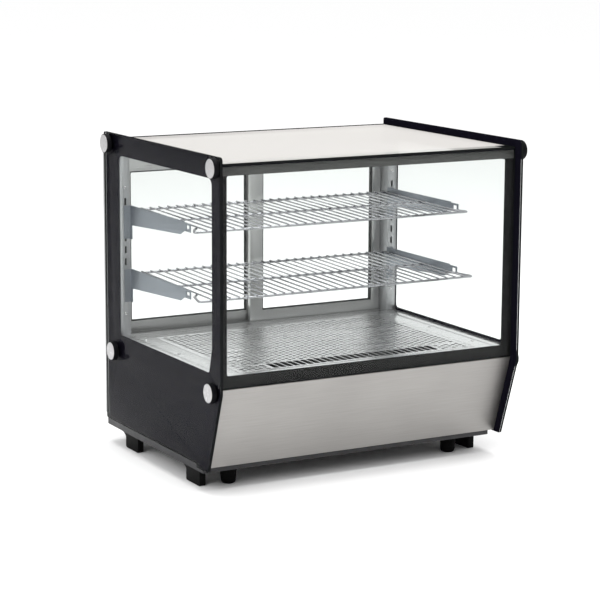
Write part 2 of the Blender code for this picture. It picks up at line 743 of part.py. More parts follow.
def build_brackets(level):
    """The two cantilever brackets of a shelf, each hooked into the slots of its post."""
    back = POST_Y[0] - GAP
    front = BRACKET_FRONT_Y
    top = SHELF_Z[level] + BRACKET_TOP

    def lip_height(y):
        """The upper face of the lip that the cross wires lie on, at a depth."""
        wire = SHELF_Z[level] - WIRE_DROP + (y - SHELF_BACK_Y) * math.tan(SHELF_TILT)
        return wire - CROSS_RADIUS - 2 * GAP

    side = (
        (back, top),
        (back, top - TAIL_DROP),
        (back - TAIL_WIDTH, top - TAIL_DROP),
        (back - TAIL_WIDTH, top - BRACKET_BACK_DROP),
        (BRACKET_TOE[0], top + BRACKET_TOE[1]),
        (front, top + LUG_Z[0]),
        (LUG_FRONT_Y, top + LUG_Z[0]),
        (LUG_FRONT_Y, top + LUG_Z[1]),
        (front, top + LUG_Z[1]),
        (front, top),
    )
    eye = rectangle(*[(y, top + z) for y, z in LUG_EYE])
    lip = (
        (back, lip_height(back)),
        (front, lip_height(front)),
        (front, lip_height(front) - BRACKET_SHEET),
        (back, lip_height(back) - BRACKET_SHEET),
    )
    margin = HOOK_SIZE[1] / 2 + HOOK_MARGIN
    hooks = [z for z in slot_heights() if top - TAIL_DROP + margin < z < top - margin]
    for name, sign in (("left", -1), ("right", 1)):
        node = f"{level}_bracket_{name}"
        outer = BRACKET_X + BRACKET_SHEET
        span = sorted((sign * BRACKET_X, sign * outer))
        mat = finish(node, (0.6, 0.6, 0.61), 0.3, 1.0)
        bracket = to_mesh(slab(node, "X", span, [side, eye]), mat)
        span = sorted((sign * (BRACKET_X - LIP_WIDTH), sign * (outer - LIP_SET)))
        boolean(bracket, to_mesh(slab(f"{node}_lip", "X", span, [lip])), "UNION")
        xs = sorted((sign * (BRACKET_X + LIP_SET), sign * (SLOT_X + HOOK_SIZE[0] * 2)))
        flange_low = (xs[0], back - BRACKET_SHEET, top - TAIL_DROP + LIP_SET * 2)
        flange = boxes(f"{node}_flange", [(flange_low, (xs[1], back, top - LIP_SET * 2))])
        boolean(bracket, flange, "UNION")
        tabs = []
        for z in hooks:
            x = sign * SLOT_X
            low = (x - HOOK_SIZE[0] / 2, back - BRACKET_SHEET / 2, z - HOOK_SIZE[1] / 2)
            high = (x + HOOK_SIZE[0] / 2, back + HOOK_REACH, z + HOOK_SIZE[1] / 2)
            tabs.append((low, high))
        boolean(bracket, boxes(f"{node}_hooks", tabs), "UNION")


def slot_heights():
    """The middle height of each slot in a post."""
    return [SLOT_FIRST_Z + i * SLOT_PITCH for i in range(SLOT_COUNT)]


def build_rear_panel():
    """The service panel below the doors, with its vents, and the cable gland."""
    loops = [rectangle((-BAY_X, REAR_PANEL_Z[0]), (BAY_X, REAR_PANEL_Z[1]))]
    loops.append(rectangle(*CONTROL_CUTOUT))
    for x in VENT_GROUPS:
        for row in range(VENT_ROWS):
            z = VENT_LOW_Z + row * VENT_PITCH
            half = (VENT_SIZE[0] / 2, VENT_SIZE[1] / 2)
            loops.append(rectangle((x - half[0], z - half[1]), (x + half[0], z + half[1])))
    loops.append(circle((GLAND_X, GLAND_Z), GLAND_HOLE, 12))
    span = (REAR_PANEL_Y - SHEET, REAR_PANEL_Y)
    slab("rear_panel", "Y", span, loops, stainless("rear_panel"))
    gland = turned("cable_gland", GLAND_PROFILE, black_plastic("cable_gland"), 12)
    gland.rotation_euler = (-math.pi / 2, 0.0, 0.0)
    gland.location = (GLAND_X, REAR_PANEL_Y, GLAND_Z)


def build_controls():
    """The control plate with its controller body, three buttons and two rockers."""
    low = (CONTROL_X[0], CONTROL_Z[0])
    loops = [rounded_rectangle(low, (CONTROL_X[1], CONTROL_Z[1]), 0.006)]
    for x in BUTTONS.values():
        half = [size / 2 + BUTTON_CLEARANCE for size in BUTTON_SIZE]
        loops.append(
            rectangle((x - half[0], BUTTON_Z - half[1]), (x + half[0], BUTTON_Z + half[1]))
        )
    for x in ROCKERS.values():
        half = (ROCKER_HOLE[0] / 2, ROCKER_HOLE[1] / 2)
        z = ROCKER_PIVOT[1]
        loops.append(rectangle((x - half[0], z - half[1]), (x + half[0], z + half[1])))
    plate = to_mesh(slab("control_plate", "Y", CONTROL_Y, loops), black_plastic("control_plate"))
    boolean(plate, boxes("controller_body", [CONTROLLER_BOX]), "UNION")
    for name, x in BUTTONS.items():
        half = (BUTTON_SIZE[0] / 2, BUTTON_SIZE[1] / 2)
        mesh_low = (-half[0], BUTTON_Y[0] - CONTROL_Y[1], -half[1])
        mesh_high = (half[0], BUTTON_Y[1] - CONTROL_Y[1], half[1])
        button = boxes(name, [(mesh_low, mesh_high)], finish(name, (0.08, 0.08, 0.085), 0.4))
        button.location = (x, CONTROL_Y[1], BUTTON_Z)
    for name, x in ROCKERS.items():
        build_rocker(name, x)


def build_rocker(name, x):
    """A rocker switch on its pivot, resting with its lower end out."""
    half = ROCKER_WIDTH / 2
    rocker = slab(name, "X", (-half, half), [ROCKER_OUTLINE])
    rocker.rotation_euler.rotate(Euler((ROCKER_REST, 0.0, 0.0)))
    rocker.location = (x, *ROCKER_PIVOT)
    to_mesh(rocker, finish(name, (0.02, 0.02, 0.02), 0.3))


def build_fan():
    """The circulation fan under the deck: a square housing with a motor on struts, and its rotor."""
    half = FAN_SIZE / 2
    x, y, z = FAN_CENTRE
    loops = [rounded_rectangle((x - half, z - half), (x + half, z + half), FAN_CORNER)]
    for quarter in range(4):
        start = quarter * math.pi / 2
        ends = []
        for radius, half_strut in ((FAN_BORE - FAN_STEP, FAN_STRUT), (FAN_HUB, FAN_STRUT_ROOT)):
            inset = math.asin(half_strut / radius)
            ends.append(arc((x, z), radius, start + inset, start + math.pi / 2 - inset, 8))
        loops.append(ends[0] + ends[1][::-1])
    span = (y - FAN_DEPTH / 2, y + FAN_DEPTH / 2)
    housing = to_mesh(slab("fan_housing", "Y", span, loops), black_plastic("fan_housing"))
    reach = (span[0] - FAN_STRUT, span[1] - FAN_STRUT)
    bore = slab("fan_bore", "Y", reach, [circle((x, z), FAN_BORE, 32)])
    boolean(housing, to_mesh(bore), "DIFFERENCE")
    build_rotor()


def build_rotor():
    """The fan rotor: a hub with pitched blades, its origin on the shaft's axis."""
    rotor = slab("fan_rotor", "Y", ROTOR_HUB_Y, [circle((0.0, 0.0), FAN_HUB, 28)])
    rotor = to_mesh(rotor, finish("fan_rotor", (0.12, 0.12, 0.13), 0.5))
    mesh = bpy.data.meshes.new("rotor_blades")
    bm = bmesh.new()
    root = FAN_HUB - ROTOR_BLADE_ROOT
    for i in range(FAN_BLADES):
        made = bmesh.ops.create_cube(bm, size=1.0)["verts"]
        bmesh.ops.scale(bm, vec=(FAN_TIP - root, *ROTOR_BLADE), verts=made)
        pitch = Euler((ROTOR_PITCH, 0.0, 0.0)).to_matrix()
        bmesh.ops.rotate(bm, cent=(0, 0, 0), matrix=pitch, verts=made)
        bmesh.ops.translate(bm, vec=((FAN_TIP + root) / 2, ROTOR_BLADE_Y, 0.0), verts=made)
        turn = Euler((0.0, math.tau * i / FAN_BLADES, 0.0)).to_matrix()
        bmesh.ops.rotate(bm, cent=(0, 0, 0), matrix=turn, verts=made)
    bm.to_mesh(mesh)
    bm.free()
    blades = place(bpy.data.objects.new("rotor_blades", mesh), None)
    boolean(rotor, blades, "UNION")
    for piece in (rotor, blades):
        piece.location = FAN_CENTRE


def build_heater():
    """The tubular heating element that snakes under the deck, on its two upright ends."""
    path = []
    for i, y in enumerate(HEATER_ROWS):
        ends = (-HEATER_REACH, HEATER_REACH) if i % 2 == 0 else (HEATER_REACH, -HEATER_REACH)
        path += [(ends[0], y), (ends[1], y)]
        if i < len(HEATER_ROWS) - 1:
            radius = (y - HEATER_ROWS[i + 1]) / 2
            turn = -math.pi if ends[1] > 0 else math.pi
            path += arc((ends[1], y - radius), radius, math.pi / 2, math.pi / 2 + turn, 8)[1:-1]
    floor = PAN_Z + SHEET + 2 * GAP
    points = [(x, y, HEATER_Z) for x, y in path]
    points = [(*path[0], floor)] + points + [(*path[-1], floor)]
    sheath = finish("heater_element", (0.25, 0.24, 0.23), 0.45, 1.0)
    wire("heater_element", points, HEATER_RADIUS, sheath)


def build_lamp():
    """The lamp behind the top border of the front glass: a channel with a lens in its mouth."""
    low, high = LAMP_Z
    front, back = LAMP_Y
    path = ((back, low), (back, high), (front, high), (front, low))
    outline = folded(path, SHEET)
    span = (-LAMP_X, LAMP_X)
    slab("lamp_housing", "X", span, [outline], finish("lamp_housing", (0.6, 0.6, 0.6), 0.4, 1.0))
    inside = (front + SHEET + GAP, back - SHEET - GAP)
    lens = rectangle((inside[0], low), (inside[1], low + LENS_THICK))
    slab("lamp_lens", "X", span, [lens], finish("lamp_lens", (0.95, 0.93, 0.86), 0.4))


def build_case():
    """Every piece of the case."""
    clear_scene()
    for side, sign in (("left", -1), ("right", 1)):
        build_side_glass(side, sign)
        build_caps(side, sign)
    build_front_and_top_glass()
    build_front_panel()
    build_base()
    build_deck()
    build_feet()
    build_posts()
    build_door("inner_door", 1, INNER_DOOR_Y)
    build_door("outer_door", -1, OUTER_DOOR_Y)
    for level in SHELF_Z:
        build_shelf(level)
        build_brackets(level)
    build_rear_panel()
    build_controls()
    build_fan()
    build_heater()
    build_lamp()


build_case()
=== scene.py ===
# %% [markdown]
# # A hot food display case, from flat sheet to finished picture
#
# The real case is a kit of flat things: tempered glass with a black border
# fired on its inner side, folded stainless sheet, welded wire shelves and a
# few turned and moulded parts. The solid model that we load has every part at
# its true size and place. This lesson gives each one its finish, and rebuilds
# the parts whose beauty is in details too fine for a working model.

import math

import bmesh
import bpy
from mathutils import Euler, Matrix, Vector


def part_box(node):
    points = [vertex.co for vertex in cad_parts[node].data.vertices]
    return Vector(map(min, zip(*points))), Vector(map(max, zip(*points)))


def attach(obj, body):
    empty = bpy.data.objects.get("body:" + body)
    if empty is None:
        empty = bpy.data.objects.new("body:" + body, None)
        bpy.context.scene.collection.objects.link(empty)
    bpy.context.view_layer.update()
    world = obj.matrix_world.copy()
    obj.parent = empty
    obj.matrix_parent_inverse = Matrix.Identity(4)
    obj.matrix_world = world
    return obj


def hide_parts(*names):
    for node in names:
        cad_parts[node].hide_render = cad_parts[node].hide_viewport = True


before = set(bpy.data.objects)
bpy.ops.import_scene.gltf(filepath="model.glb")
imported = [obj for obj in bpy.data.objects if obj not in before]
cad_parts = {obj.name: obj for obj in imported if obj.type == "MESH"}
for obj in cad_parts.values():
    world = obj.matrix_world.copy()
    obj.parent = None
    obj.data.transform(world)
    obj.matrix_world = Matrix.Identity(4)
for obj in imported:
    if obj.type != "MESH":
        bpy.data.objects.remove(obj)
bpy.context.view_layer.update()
MM = 0.001

# %% [markdown]
# ## The camera first
#
# A long lens from over four metres away keeps the case's uprights nearly
# parallel, as a catalogue view does. We set the direction by two angles, the
# turn round the case and the height above it, so the numbers mean something.

# %% The camera
LENS = 124.3
TURN = math.radians(-29.1)
HEIGHT = math.radians(10.6)
ROLL = math.radians(0.3)
AIM = Vector((-0.0222, -0.019, 0.3228))
DISTANCE = 4.253


def place_camera():
    """Puts the camera on a line from the aim point and turns it to look back along it."""
    level = math.cos(HEIGHT)
    back = Vector((math.sin(TURN) * level, -math.cos(TURN) * level, math.sin(HEIGHT)))
    data = bpy.data.cameras.new("catalogue_camera")
    data.lens = LENS
    data.sensor_width = 36
    camera = bpy.data.objects.new("catalogue_camera", data)
    bpy.context.scene.collection.objects.link(camera)
    aim = back.to_track_quat("Z", "Y").to_matrix().to_4x4()
    stand = Matrix.Translation(AIM + back * DISTANCE)
    camera.matrix_world = stand @ aim @ Matrix.Rotation(ROLL, 4, "Z")
    bpy.context.scene.camera = camera
    return camera


print("camera stands at", [round(v, 3) for v in place_camera().matrix_world.translation])

# %% [markdown]
# ## A white studio
#
# The case stands in white. A wide floor disc runs past the edge of the view,
# so there is no horizon. Bright surfaces need something darker to mirror, or
# chrome turns into chalk: so the sky that the parts reflect is bright above
# and behind, and falls off on the customer's side.

# %% The floor
FLOOR_RADIUS = 40.0


def link(obj):
    """Adds an object to the scene and hands it back."""
    bpy.context.scene.collection.objects.link(obj)
    return obj


def floor_paint():
    """A pale paint with a very faint mottle."""
    mat = bpy.data.materials.new("studio_floor")
    mat.use_nodes = True
    shader = mat.node_tree.nodes["Principled BSDF"]
    shader.inputs["Roughness"].default_value = 0.9
    shader.inputs["Specular IOR Level"].default_value = 0.0
    mottle = mat.node_tree.nodes.new("ShaderNodeTexNoise")
    mottle.inputs["Scale"].default_value = 2.0
    tone = mat.node_tree.nodes.new("ShaderNodeMapRange")
    tone.inputs["To Min"].default_value = 0.90
    tone.inputs["To Max"].default_value = 0.93
    mat.node_tree.links.new(mottle.outputs["Fac"], tone.inputs["Value"])
    mat.node_tree.links.new(tone.outputs["Result"], shader.inputs["Base Color"])
    return mat


def lay_floor():
    """A round floor with its middle under the case."""
    mesh = bpy.data.meshes.new("floor")
    bm = bmesh.new()
    bmesh.ops.create_circle(bm, cap_ends=True, segments=96, radius=FLOOR_RADIUS)
    bm.to_mesh(mesh)
    bm.free()
    floor = link(bpy.data.objects.new("floor", mesh))
    floor.location.z = -0.0002
    floor.data.materials.append(floor_paint())
    return floor


print("floor radius", lay_floor().dimensions.x / 2)

# %% The sky and the soft lights
SKY_FRONT = 0.45
SKY_BACK = 1.2


def build_sky():
    """White to the eye; for reflections and light, bright behind and above and dimmer in front."""
    world = bpy.data.worlds.new("studio")
    bpy.context.scene.world = world
    world.use_nodes = True
    tree = world.node_tree
    shade = tree.nodes["Background"]
    shade.inputs["Color"].default_value = (1.0, 1.0, 1.0, 1.0)
    where = tree.nodes.new("ShaderNodeTexCoord")
    tilt = tree.nodes.new("ShaderNodeVectorMath")
    tilt.operation = "DOT_PRODUCT"
    tilt.inputs[1].default_value = (0.0, 0.62, 0.78)
    ramp = tree.nodes.new("ShaderNodeMapRange")
    ramp.interpolation_type = "SMOOTHSTEP"
    ramp.inputs["From Min"].default_value = -0.45
    ramp.inputs["From Max"].default_value = 0.55
    ramp.inputs["To Min"].default_value = SKY_FRONT
    ramp.inputs["To Max"].default_value = SKY_BACK
    tree.links.new(where.outputs["Generated"], tilt.inputs[0])
    tree.links.new(tilt.outputs["Value"], ramp.inputs["Value"])
    eye = tree.nodes.new("ShaderNodeLightPath")
    pick = tree.nodes.new("ShaderNodeMix")
    pick.inputs["B"].default_value = 1.0
    tree.links.new(eye.outputs["Is Camera Ray"], pick.inputs["Factor"])
    tree.links.new(ramp.outputs["Result"], pick.inputs["A"])
    tree.links.new(pick.outputs["Result"], shade.inputs["Strength"])


def soft_light(name, place, size, power, aim=(0.0, 0.0, 0.3)):
    """A large square lamp that looks at the case."""
    data = bpy.data.lights.new(name, "AREA")
    data.shape = "SQUARE"
    data.size = size
    data.energy = power
    lamp = link(bpy.data.objects.new(name, data))
    lamp.location = place
    lamp.rotation_euler = (Vector(place) - Vector(aim)).to_track_quat("Z", "Y").to_euler()
    lamp.visible_camera = False


build_sky()
soft_light("overhead", (0.0, -0.4, 4.2), 3.4, 150.0)
soft_light("left_key", (-3.6, -2.6, 2.6), 1.8, 60.0)
bpy.context.scene.view_settings.view_transform = "Standard"

# %% [markdown]
# ## Drawing flat outlines
#
# Almost everything here is cut from sheet, so we draw outlines: a list of
# corner points, each with the radius that rounds it. The maths of one corner
# is short. The centre of the arc lies on the line that halves the corner, and
# the arc touches both sides.

# %% Outlines with round corners


def arc(centre, radius, start, end, steps):
    """Points along an arc, both ends included."""
    turns = [start + (end - start) * i / steps for i in range(steps + 1)]
    return [(centre[0] + radius * math.cos(t), centre[1] + radius * math.sin(t)) for t in turns]


def circle(centre, radius, steps=32):
    """A closed loop of points round a circle."""
    return arc(centre, radius, 0.0, math.tau * (steps - 1) / steps, steps - 1)


def rounded(corners, steps=6):
    """A loop through (x, y, radius) corners."""
    loop = []
    for i, (x, y, radius) in enumerate(corners):
        ahead = corners[(i + 1) % len(corners)]
        back_angle = math.atan2(corners[i - 1][1] - y, corners[i - 1][0] - x)
        opening = math.atan2(ahead[1] - y, ahead[0] - x) - back_angle
        opening = (opening + math.pi) % math.tau - math.pi
        middle = back_angle + opening / 2
        reach = radius / math.sin(abs(opening) / 2)
        centre = (x + reach * math.cos(middle), y + reach * math.sin(middle))
        half_turn = (math.pi - abs(opening)) / 2 * math.copysign(1.0, opening)
        facing = middle + math.pi
        loop += arc(centre, radius, facing + half_turn, facing - half_turn, steps)
    return loop


def rectangle(low, high, radius=0.0, steps=4):
    """A rectangle from its low corner to its high one."""
    corners = [(low[0], low[1]), (high[0], low[1]), (high[0], high[1]), (low[0], high[1])]
    return rounded([(x, y, radius) for x, y in corners], steps) if radius else corners


def slot(centre, width, length, steps=6):
    """A slot with round ends, long the second way."""
    reach = (length - width) / 2
    far = arc((centre[0], centre[1] + reach), width / 2, 0.0, math.pi, steps)
    return far + arc((centre[0], centre[1] - reach), width / 2, math.pi, math.tau, steps)


print("a rounded square has", len(rectangle((0, 0), (1, 1), 0.1)), "points")

# %% [markdown]
# ## From outline to sheet
#
# A 2D curve is the cleanest way from outlines to a sheet with holes. Blender
# fills between the loops, `extrude` gives the thickness, and a small
# `bevel_depth` with an equal negative `offset` eases every edge without
# making the sheet larger. Real sheet never has a razor edge, and it is the
# eased edge that catches the light. Blender reads the way a loop runs to
# decide where its outside is, so a hole must run against the outline.

# %% Cutting a sheet
TURNS = {"X": (90, 0, 90), "Y": (90, 0, 0), "Z": (0, 0, 0)}


def signed_area(loop):
    """Positive for a loop that runs anticlockwise."""
    return sum(a[0] * b[1] - b[0] * a[1] for a, b in zip(loop, loop[1:] + loop[:1])) / 2


def clean_mesh(obj, matrix=None, smooth=35):
    """Swaps a curve for a welded mesh with its place in the vertices, smooth on its rounds."""
    bpy.context.view_layer.update()
    depsgraph = bpy.context.evaluated_depsgraph_get()
    mesh = bpy.data.meshes.new_from_object(obj.evaluated_get(depsgraph))
    mesh.transform(matrix or obj.matrix_world)
    bm = bmesh.new()
    bm.from_mesh(mesh)
    bmesh.ops.remove_doubles(bm, verts=bm.verts, dist=1e-6)
    bmesh.ops.dissolve_degenerate(bm, edges=bm.edges, dist=1e-7)
    bmesh.ops.recalc_face_normals(bm, faces=bm.faces)
    bm.to_mesh(mesh)
    bm.free()
    mesh.shade_smooth()
    mesh.set_sharp_from_angle(angle=math.radians(smooth))
    name = obj.name
    bpy.data.objects.remove(obj, do_unlink=True)
    mesh.materials.clear()
    return link(bpy.data.objects.new(name, mesh))


def sheet(name, plane, span, loops, ease=0.3 * MM):
    """A sheet across one axis. The first loop is its outline and the others are holes."""
    curve = bpy.data.curves.new(name, "CURVE")
    curve.dimensions = "2D"
    curve.fill_mode = "BOTH"
    curve.extrude = (span[1] - span[0]) / 2 - ease
    curve.bevel_depth = ease
    curve.offset = -ease
    curve.bevel_resolution = 1
    for i, loop in enumerate(loops):
        if (signed_area(loop) > 0) != (i == 0):
            loop = loop[::-1]
        spline = curve.splines.new("POLY")
        spline.points.add(len(loop) - 1)
        for point, (a, b) in zip(spline.points, loop):
            point.co = (a, b, 0.0, 1.0)
        spline.use_cyclic_u = True
    obj = link(bpy.data.objects.new(name, curve))
    obj.rotation_euler = [math.radians(t) for t in TURNS[plane]]
    obj.location["XYZ".index(plane)] = (span[0] + span[1]) / 2
    return clean_mesh(obj)


# %% [markdown]
# Folded sheet is a path with a thickness. Each fold gets a small radius, as a
# press brake leaves it, and the path is offset to its left for the far side.

# %% Folding a sheet


def bend(path, radius, steps=4):
    """Rounds the inner corners of an open path."""
    loop = rounded([(x, y, radius) for x, y in path], steps)
    inner = loop[steps + 1 : -(steps + 1)]
    return [path[0]] + inner + [path[-1]]


def fold(path, thickness):
    """A closed outline from a path and its offset to the left."""
    far = []
    for i, (x, y) in enumerate(path):
        before = path[i - 1] if i else None
        after = path[i + 1] if i + 1 < len(path) else None
        into = math.atan2(y - before[1], x - before[0]) if before else None
        out = math.atan2(after[1] - y, after[0] - x) if after else into
        into = out if into is None else into
        turn = (out - into + math.pi) % math.tau - math.pi
        reach = thickness / math.cos(turn / 2)
        normal = into + turn / 2 + math.pi / 2
        far.append((x + reach * math.cos(normal), y + reach * math.sin(normal)))
    return list(path) + far[::-1]


# %% [markdown]
# ## Turned parts, wires and softened solids
#
# Caps, feet and screws are turned: a profile swept round an axis. Wires are
# curves with a round section. The remaining parts are plain boxes and
# channels whose shape is right already. Those we copy from the model, weld,
# merge back into whole faces, and give a small bevel.

# %% Turning, drawing wire and softening


AXIS_TURNS = {
    "X": (0, 90, 0),
    "-X": (0, -90, 0),
    "Y": (-90, 0, 0),
    "-Y": (90, 0, 0),
    "Z": (0, 0, 0),
}


def in_mm(points):
    """Points given in millimetres, handed back in metres."""
    return [(a * MM, b * MM) for a, b in points]


def spin_to(axis):
    """The turn that lays the Z axis along another axis."""
    return Euler([math.radians(t) for t in AXIS_TURNS[axis]]).to_matrix().to_4x4()


def turned(name, profile, place, axis="Z", sides=40, smooth=32):
    """A solid of revolution from (radius, height) points that start and end on the axis."""
    mesh = bpy.data.meshes.new(name)
    bm = bmesh.new()
    rings = []
    for radius, height in profile:
        turns = range(sides) if radius > 0 else range(1)
        angles = [math.tau * i / sides for i in turns]
        ring = [(radius * math.cos(a), radius * math.sin(a), height) for a in angles]
        rings.append([bm.verts.new(point) for point in ring])
    for low, high in zip(rings, rings[1:]):
        for i in range(sides):
            j = (i + 1) % sides
            near = [low[i % len(low)], low[j % len(low)]]
            far = [high[j % len(high)], high[i % len(high)]]
            bm.faces.new(list(dict.fromkeys(near + far)))
    bmesh.ops.recalc_face_normals(bm, faces=bm.faces)
    bm.to_mesh(mesh)
    bm.free()
    mesh.transform(Matrix.Translation(place) @ spin_to(axis))
    mesh.shade_smooth()
    mesh.set_sharp_from_angle(angle=math.radians(smooth))
    return link(bpy.data.objects.new(name, mesh))


def wires(name, runs, radius, resolution=4):
    """One mesh of round wires, each along its own points, with eased ends."""
    curve = bpy.data.curves.new(name, "CURVE")
    curve.dimensions = "3D"
    curve.bevel_depth = radius
    curve.bevel_resolution = resolution
    curve.use_fill_caps = True
    for run in runs:
        first, last = Vector(run[0]), Vector(run[-1])
        tip = min(radius * 0.4, (Vector(run[1]) - first).length / 3)
        start = first.lerp(Vector(run[1]), tip / (Vector(run[1]) - first).length)
        stop = last.lerp(Vector(run[-2]), tip / (Vector(run[-2]) - last).length)
        points = [first, start] + [Vector(p) for p in run[1:-1]] + [stop, last]
        spline = curve.splines.new("POLY")
        spline.points.add(len(points) - 1)
        for i, (point, co) in enumerate(zip(spline.points, points)):
            point.co = (*co, 1.0)
            point.radius = 0.6 if i in (0, len(points) - 1) else 1.0
    return clean_mesh(link(bpy.data.objects.new(name, curve)), smooth=50)


def softened(node, width, rings=2):
    """A copy of a model part with every sharp edge eased."""
    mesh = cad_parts[node].data.copy()
    bm = bmesh.new()
    bm.from_mesh(mesh)
    bmesh.ops.remove_doubles(bm, verts=bm.verts, dist=2e-6)
    bmesh.ops.dissolve_limit(bm, angle_limit=math.radians(0.6), verts=bm.verts, edges=bm.edges)
    bm.to_mesh(mesh)
    bm.free()
    mesh.shade_smooth()
    mesh.materials.clear()
    piece = link(bpy.data.objects.new(f"finished_{node}", mesh))
    ease = piece.modifiers.new("ease", "BEVEL")
    ease.width = width
    ease.segments = rings
    ease.limit_method = "ANGLE"
    ease.angle_limit = math.radians(32)
    ease.harden_normals = True
    return piece


def fit(piece, mat, slot_name, *nodes, body="case"):
    """Gives a piece its finish, the body it rides on and the model parts it stands for."""
    if mat:
        piece.data.materials.clear()
        piece.data.materials.append(mat)
    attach(piece, body)
    if nodes:
        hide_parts(*nodes)
    return piece


# %% [markdown]
# ## Mixing finishes
#
# Each finish is one Principled shader, driven by patterns in the part's own
# coordinates, which are metres here. A small kit of helpers keeps the finishes
# readable: a noise that can be stretched along the grain, a range that maps
# it to useful values, and a bump.

# %% A kit for finishes


class Finish:
    """One material under construction."""

    def __init__(self, name, colour, roughness, metallic=0.0):
        self.material = bpy.data.materials.new(name)
        self.material.use_nodes = True
        self.tree = self.material.node_tree
        self.shader = self.tree.nodes["Principled BSDF"]
        self.set("Base Color", (*colour, 1.0))
        self.set("Roughness", roughness)
        self.set("Metallic", metallic)
        self.coords = self.tree.nodes.new("ShaderNodeTexCoord")

    def set(self, socket, value):
        """Sets a plain value on the shader."""
        self.shader.inputs[socket].default_value = value

    def wire(self, output, socket):
        """Drives one of the shader's sockets."""
        self.tree.links.new(output, self.shader.inputs[socket])

    def noise(self, scale, stretch=(1, 1, 1), detail=3.0):
        """Noise of a size in waves a metre, stretched by a factor along each axis."""
        spread = self.tree.nodes.new("ShaderNodeMapping")
        spread.inputs["Scale"].default_value = stretch
        pattern = self.tree.nodes.new("ShaderNodeTexNoise")
        pattern.inputs["Scale"].default_value = scale
        pattern.inputs["Detail"].default_value = detail
        self.tree.links.new(self.coords.outputs["Object"], spread.inputs["Vector"])
        self.tree.links.new(spread.outputs["Vector"], pattern.inputs["Vector"])
        return pattern.outputs["Fac"]

    def range(self, output, low, high, start=0.3, end=0.7):
        """Maps a pattern to a range of values."""
        node = self.tree.nodes.new("ShaderNodeMapRange")
        node.inputs["From Min"].default_value = start
        node.inputs["From Max"].default_value = end
        node.inputs["To Min"].default_value = low
        node.inputs["To Max"].default_value = high
        self.tree.links.new(output, node.inputs["Value"])
        return node.outputs["Result"]

    def blend(self, output, first, second, socket="Base Color"):
        """Blends two colours by a pattern."""
        node = self.tree.nodes.new("ShaderNodeMix")
        node.data_type = "RGBA"
        node.inputs["A"].default_value = (*first, 1.0)
        node.inputs["B"].default_value = (*second, 1.0)
        self.tree.links.new(self.range(output, 0.0, 1.0), node.inputs["Factor"])
        colours = [o for o in node.outputs if o.type == "RGBA"]
        self.wire(colours[0], socket)

    def bump(self, output, depth, strength=0.5):
        """Raises the surface by a pattern."""
        node = self.tree.nodes.new("ShaderNodeBump")
        node.inputs["Strength"].default_value = strength
        node.inputs["Distance"].default_value = depth
        self.tree.links.new(output, node.inputs["Height"])
        self.wire(node.outputs["Normal"], "Normal")


def shade(colour, factor):
    """A colour made lighter or darker."""
    return tuple(min(1.0, c * factor) for c in colour)


# %% [markdown]
# ### Clear glass
#
# Flat panes bend nothing that we would notice, so instead of tracing rays
# through a refracting block we let light straight through and add the gloss
# on top: a Transparent and a Glossy shader, mixed by Schlick's rule. A face
# mirrors three hundredths of the light face on, and the rest grows with the
# fifth power of how much it turns away. The rule treats both sides of a face
# alike, which matters: light that isn't bent on its way in would otherwise be
# caught inside the pane. The mirrored room is darkened as well, or the black
# borders behind the glass would turn grey. The cut edge of tempered glass is
# another matter: it shows the black border beside it, so it has a dark finish.
#
# The top pane lies almost edge on to us. There the clear zone reads as a
# whitish sheen of reflected light, so it gets a painted reflection: a thin
# layer of diffuse white that grows at glancing views, while its gloss stops
# at the black border.

# %% Glass finishes
FACE_ON = 0.03
GLANCING = 0.5
MIRROR_TINT = 0.2
SMEAR = 0.06
GLASS_TINT = (0.975, 0.985, 0.98)
TOP_WINDOW = ((-326 * MM, -237 * MM), (326 * MM, 228 * MM))
# Painted reflection: a diffuse white layer on the top pane stands in for its glancing mirror
# image.
PAINTED_REFLECTION = 0.80
PAINTED_REFLECTION_START = 0.4
PAINTED_REFLECTION_COLOUR = (0.485, 0.47, 0.455)


def math_node(tree, operation, *values):
    """A maths node fed by sockets or plain numbers; hands back its result."""
    node = tree.nodes.new("ShaderNodeMath")
    node.operation = operation
    for socket, value in zip(node.inputs, values):
        if isinstance(value, float):
            socket.default_value = value
        else:
            tree.links.new(value, socket)
    return node.outputs["Value"]


def node_of(tree, kind):
    """The node of a kind in a material."""
    return next(node for node in tree.nodes if node.type == kind)


def clear_glass(name="clear_glass"):
    """A pane: see-through, with a gloss that grows towards glancing views."""
    mat = bpy.data.materials.new(name)
    mat.use_nodes = True
    tree = mat.node_tree
    tree.nodes.remove(tree.nodes["Principled BSDF"])
    through = tree.nodes.new("ShaderNodeBsdfTransparent")
    through.inputs["Color"].default_value = (*GLASS_TINT, 1.0)
    gloss = tree.nodes.new("ShaderNodeBsdfAnisotropic")
    gloss.inputs["Color"].default_value = (MIRROR_TINT, MIRROR_TINT, MIRROR_TINT, 1.0)
    where = tree.nodes.new("ShaderNodeTexCoord")
    smear = tree.nodes.new("ShaderNodeTexNoise")
    smear.inputs["Scale"].default_value = 14.0
    smear.inputs["Detail"].default_value = 5.0
    haze = tree.nodes.new("ShaderNodeMapRange")
    haze.inputs["To Max"].default_value = SMEAR
    facing = tree.nodes.new("ShaderNodeLayerWeight")
    facing.inputs["Blend"].default_value = 0.5
    mirror = tree.nodes.new("ShaderNodeMapRange")
    mirror.inputs["To Min"].default_value = FACE_ON
    mirror.inputs["To Max"].default_value = GLANCING
    mix = tree.nodes.new("ShaderNodeMixShader")
    schlick = math_node(tree, "POWER", facing.outputs["Facing"], 5.0)
    tree.links.new(where.outputs["Object"], smear.inputs["Vector"])
    tree.links.new(smear.outputs["Fac"], haze.inputs["Value"])
    tree.links.new(haze.outputs["Result"], gloss.inputs["Roughness"])
    tree.links.new(schlick, mirror.inputs["Value"])
    tree.links.new(mirror.outputs["Result"], mix.inputs["Fac"])
    tree.links.new(through.outputs["BSDF"], mix.inputs[1])
    tree.links.new(gloss.outputs["BSDF"], mix.inputs[2])
    tree.links.new(mix.outputs["Shader"], tree.nodes["Material Output"].inputs["Surface"])
    return mat


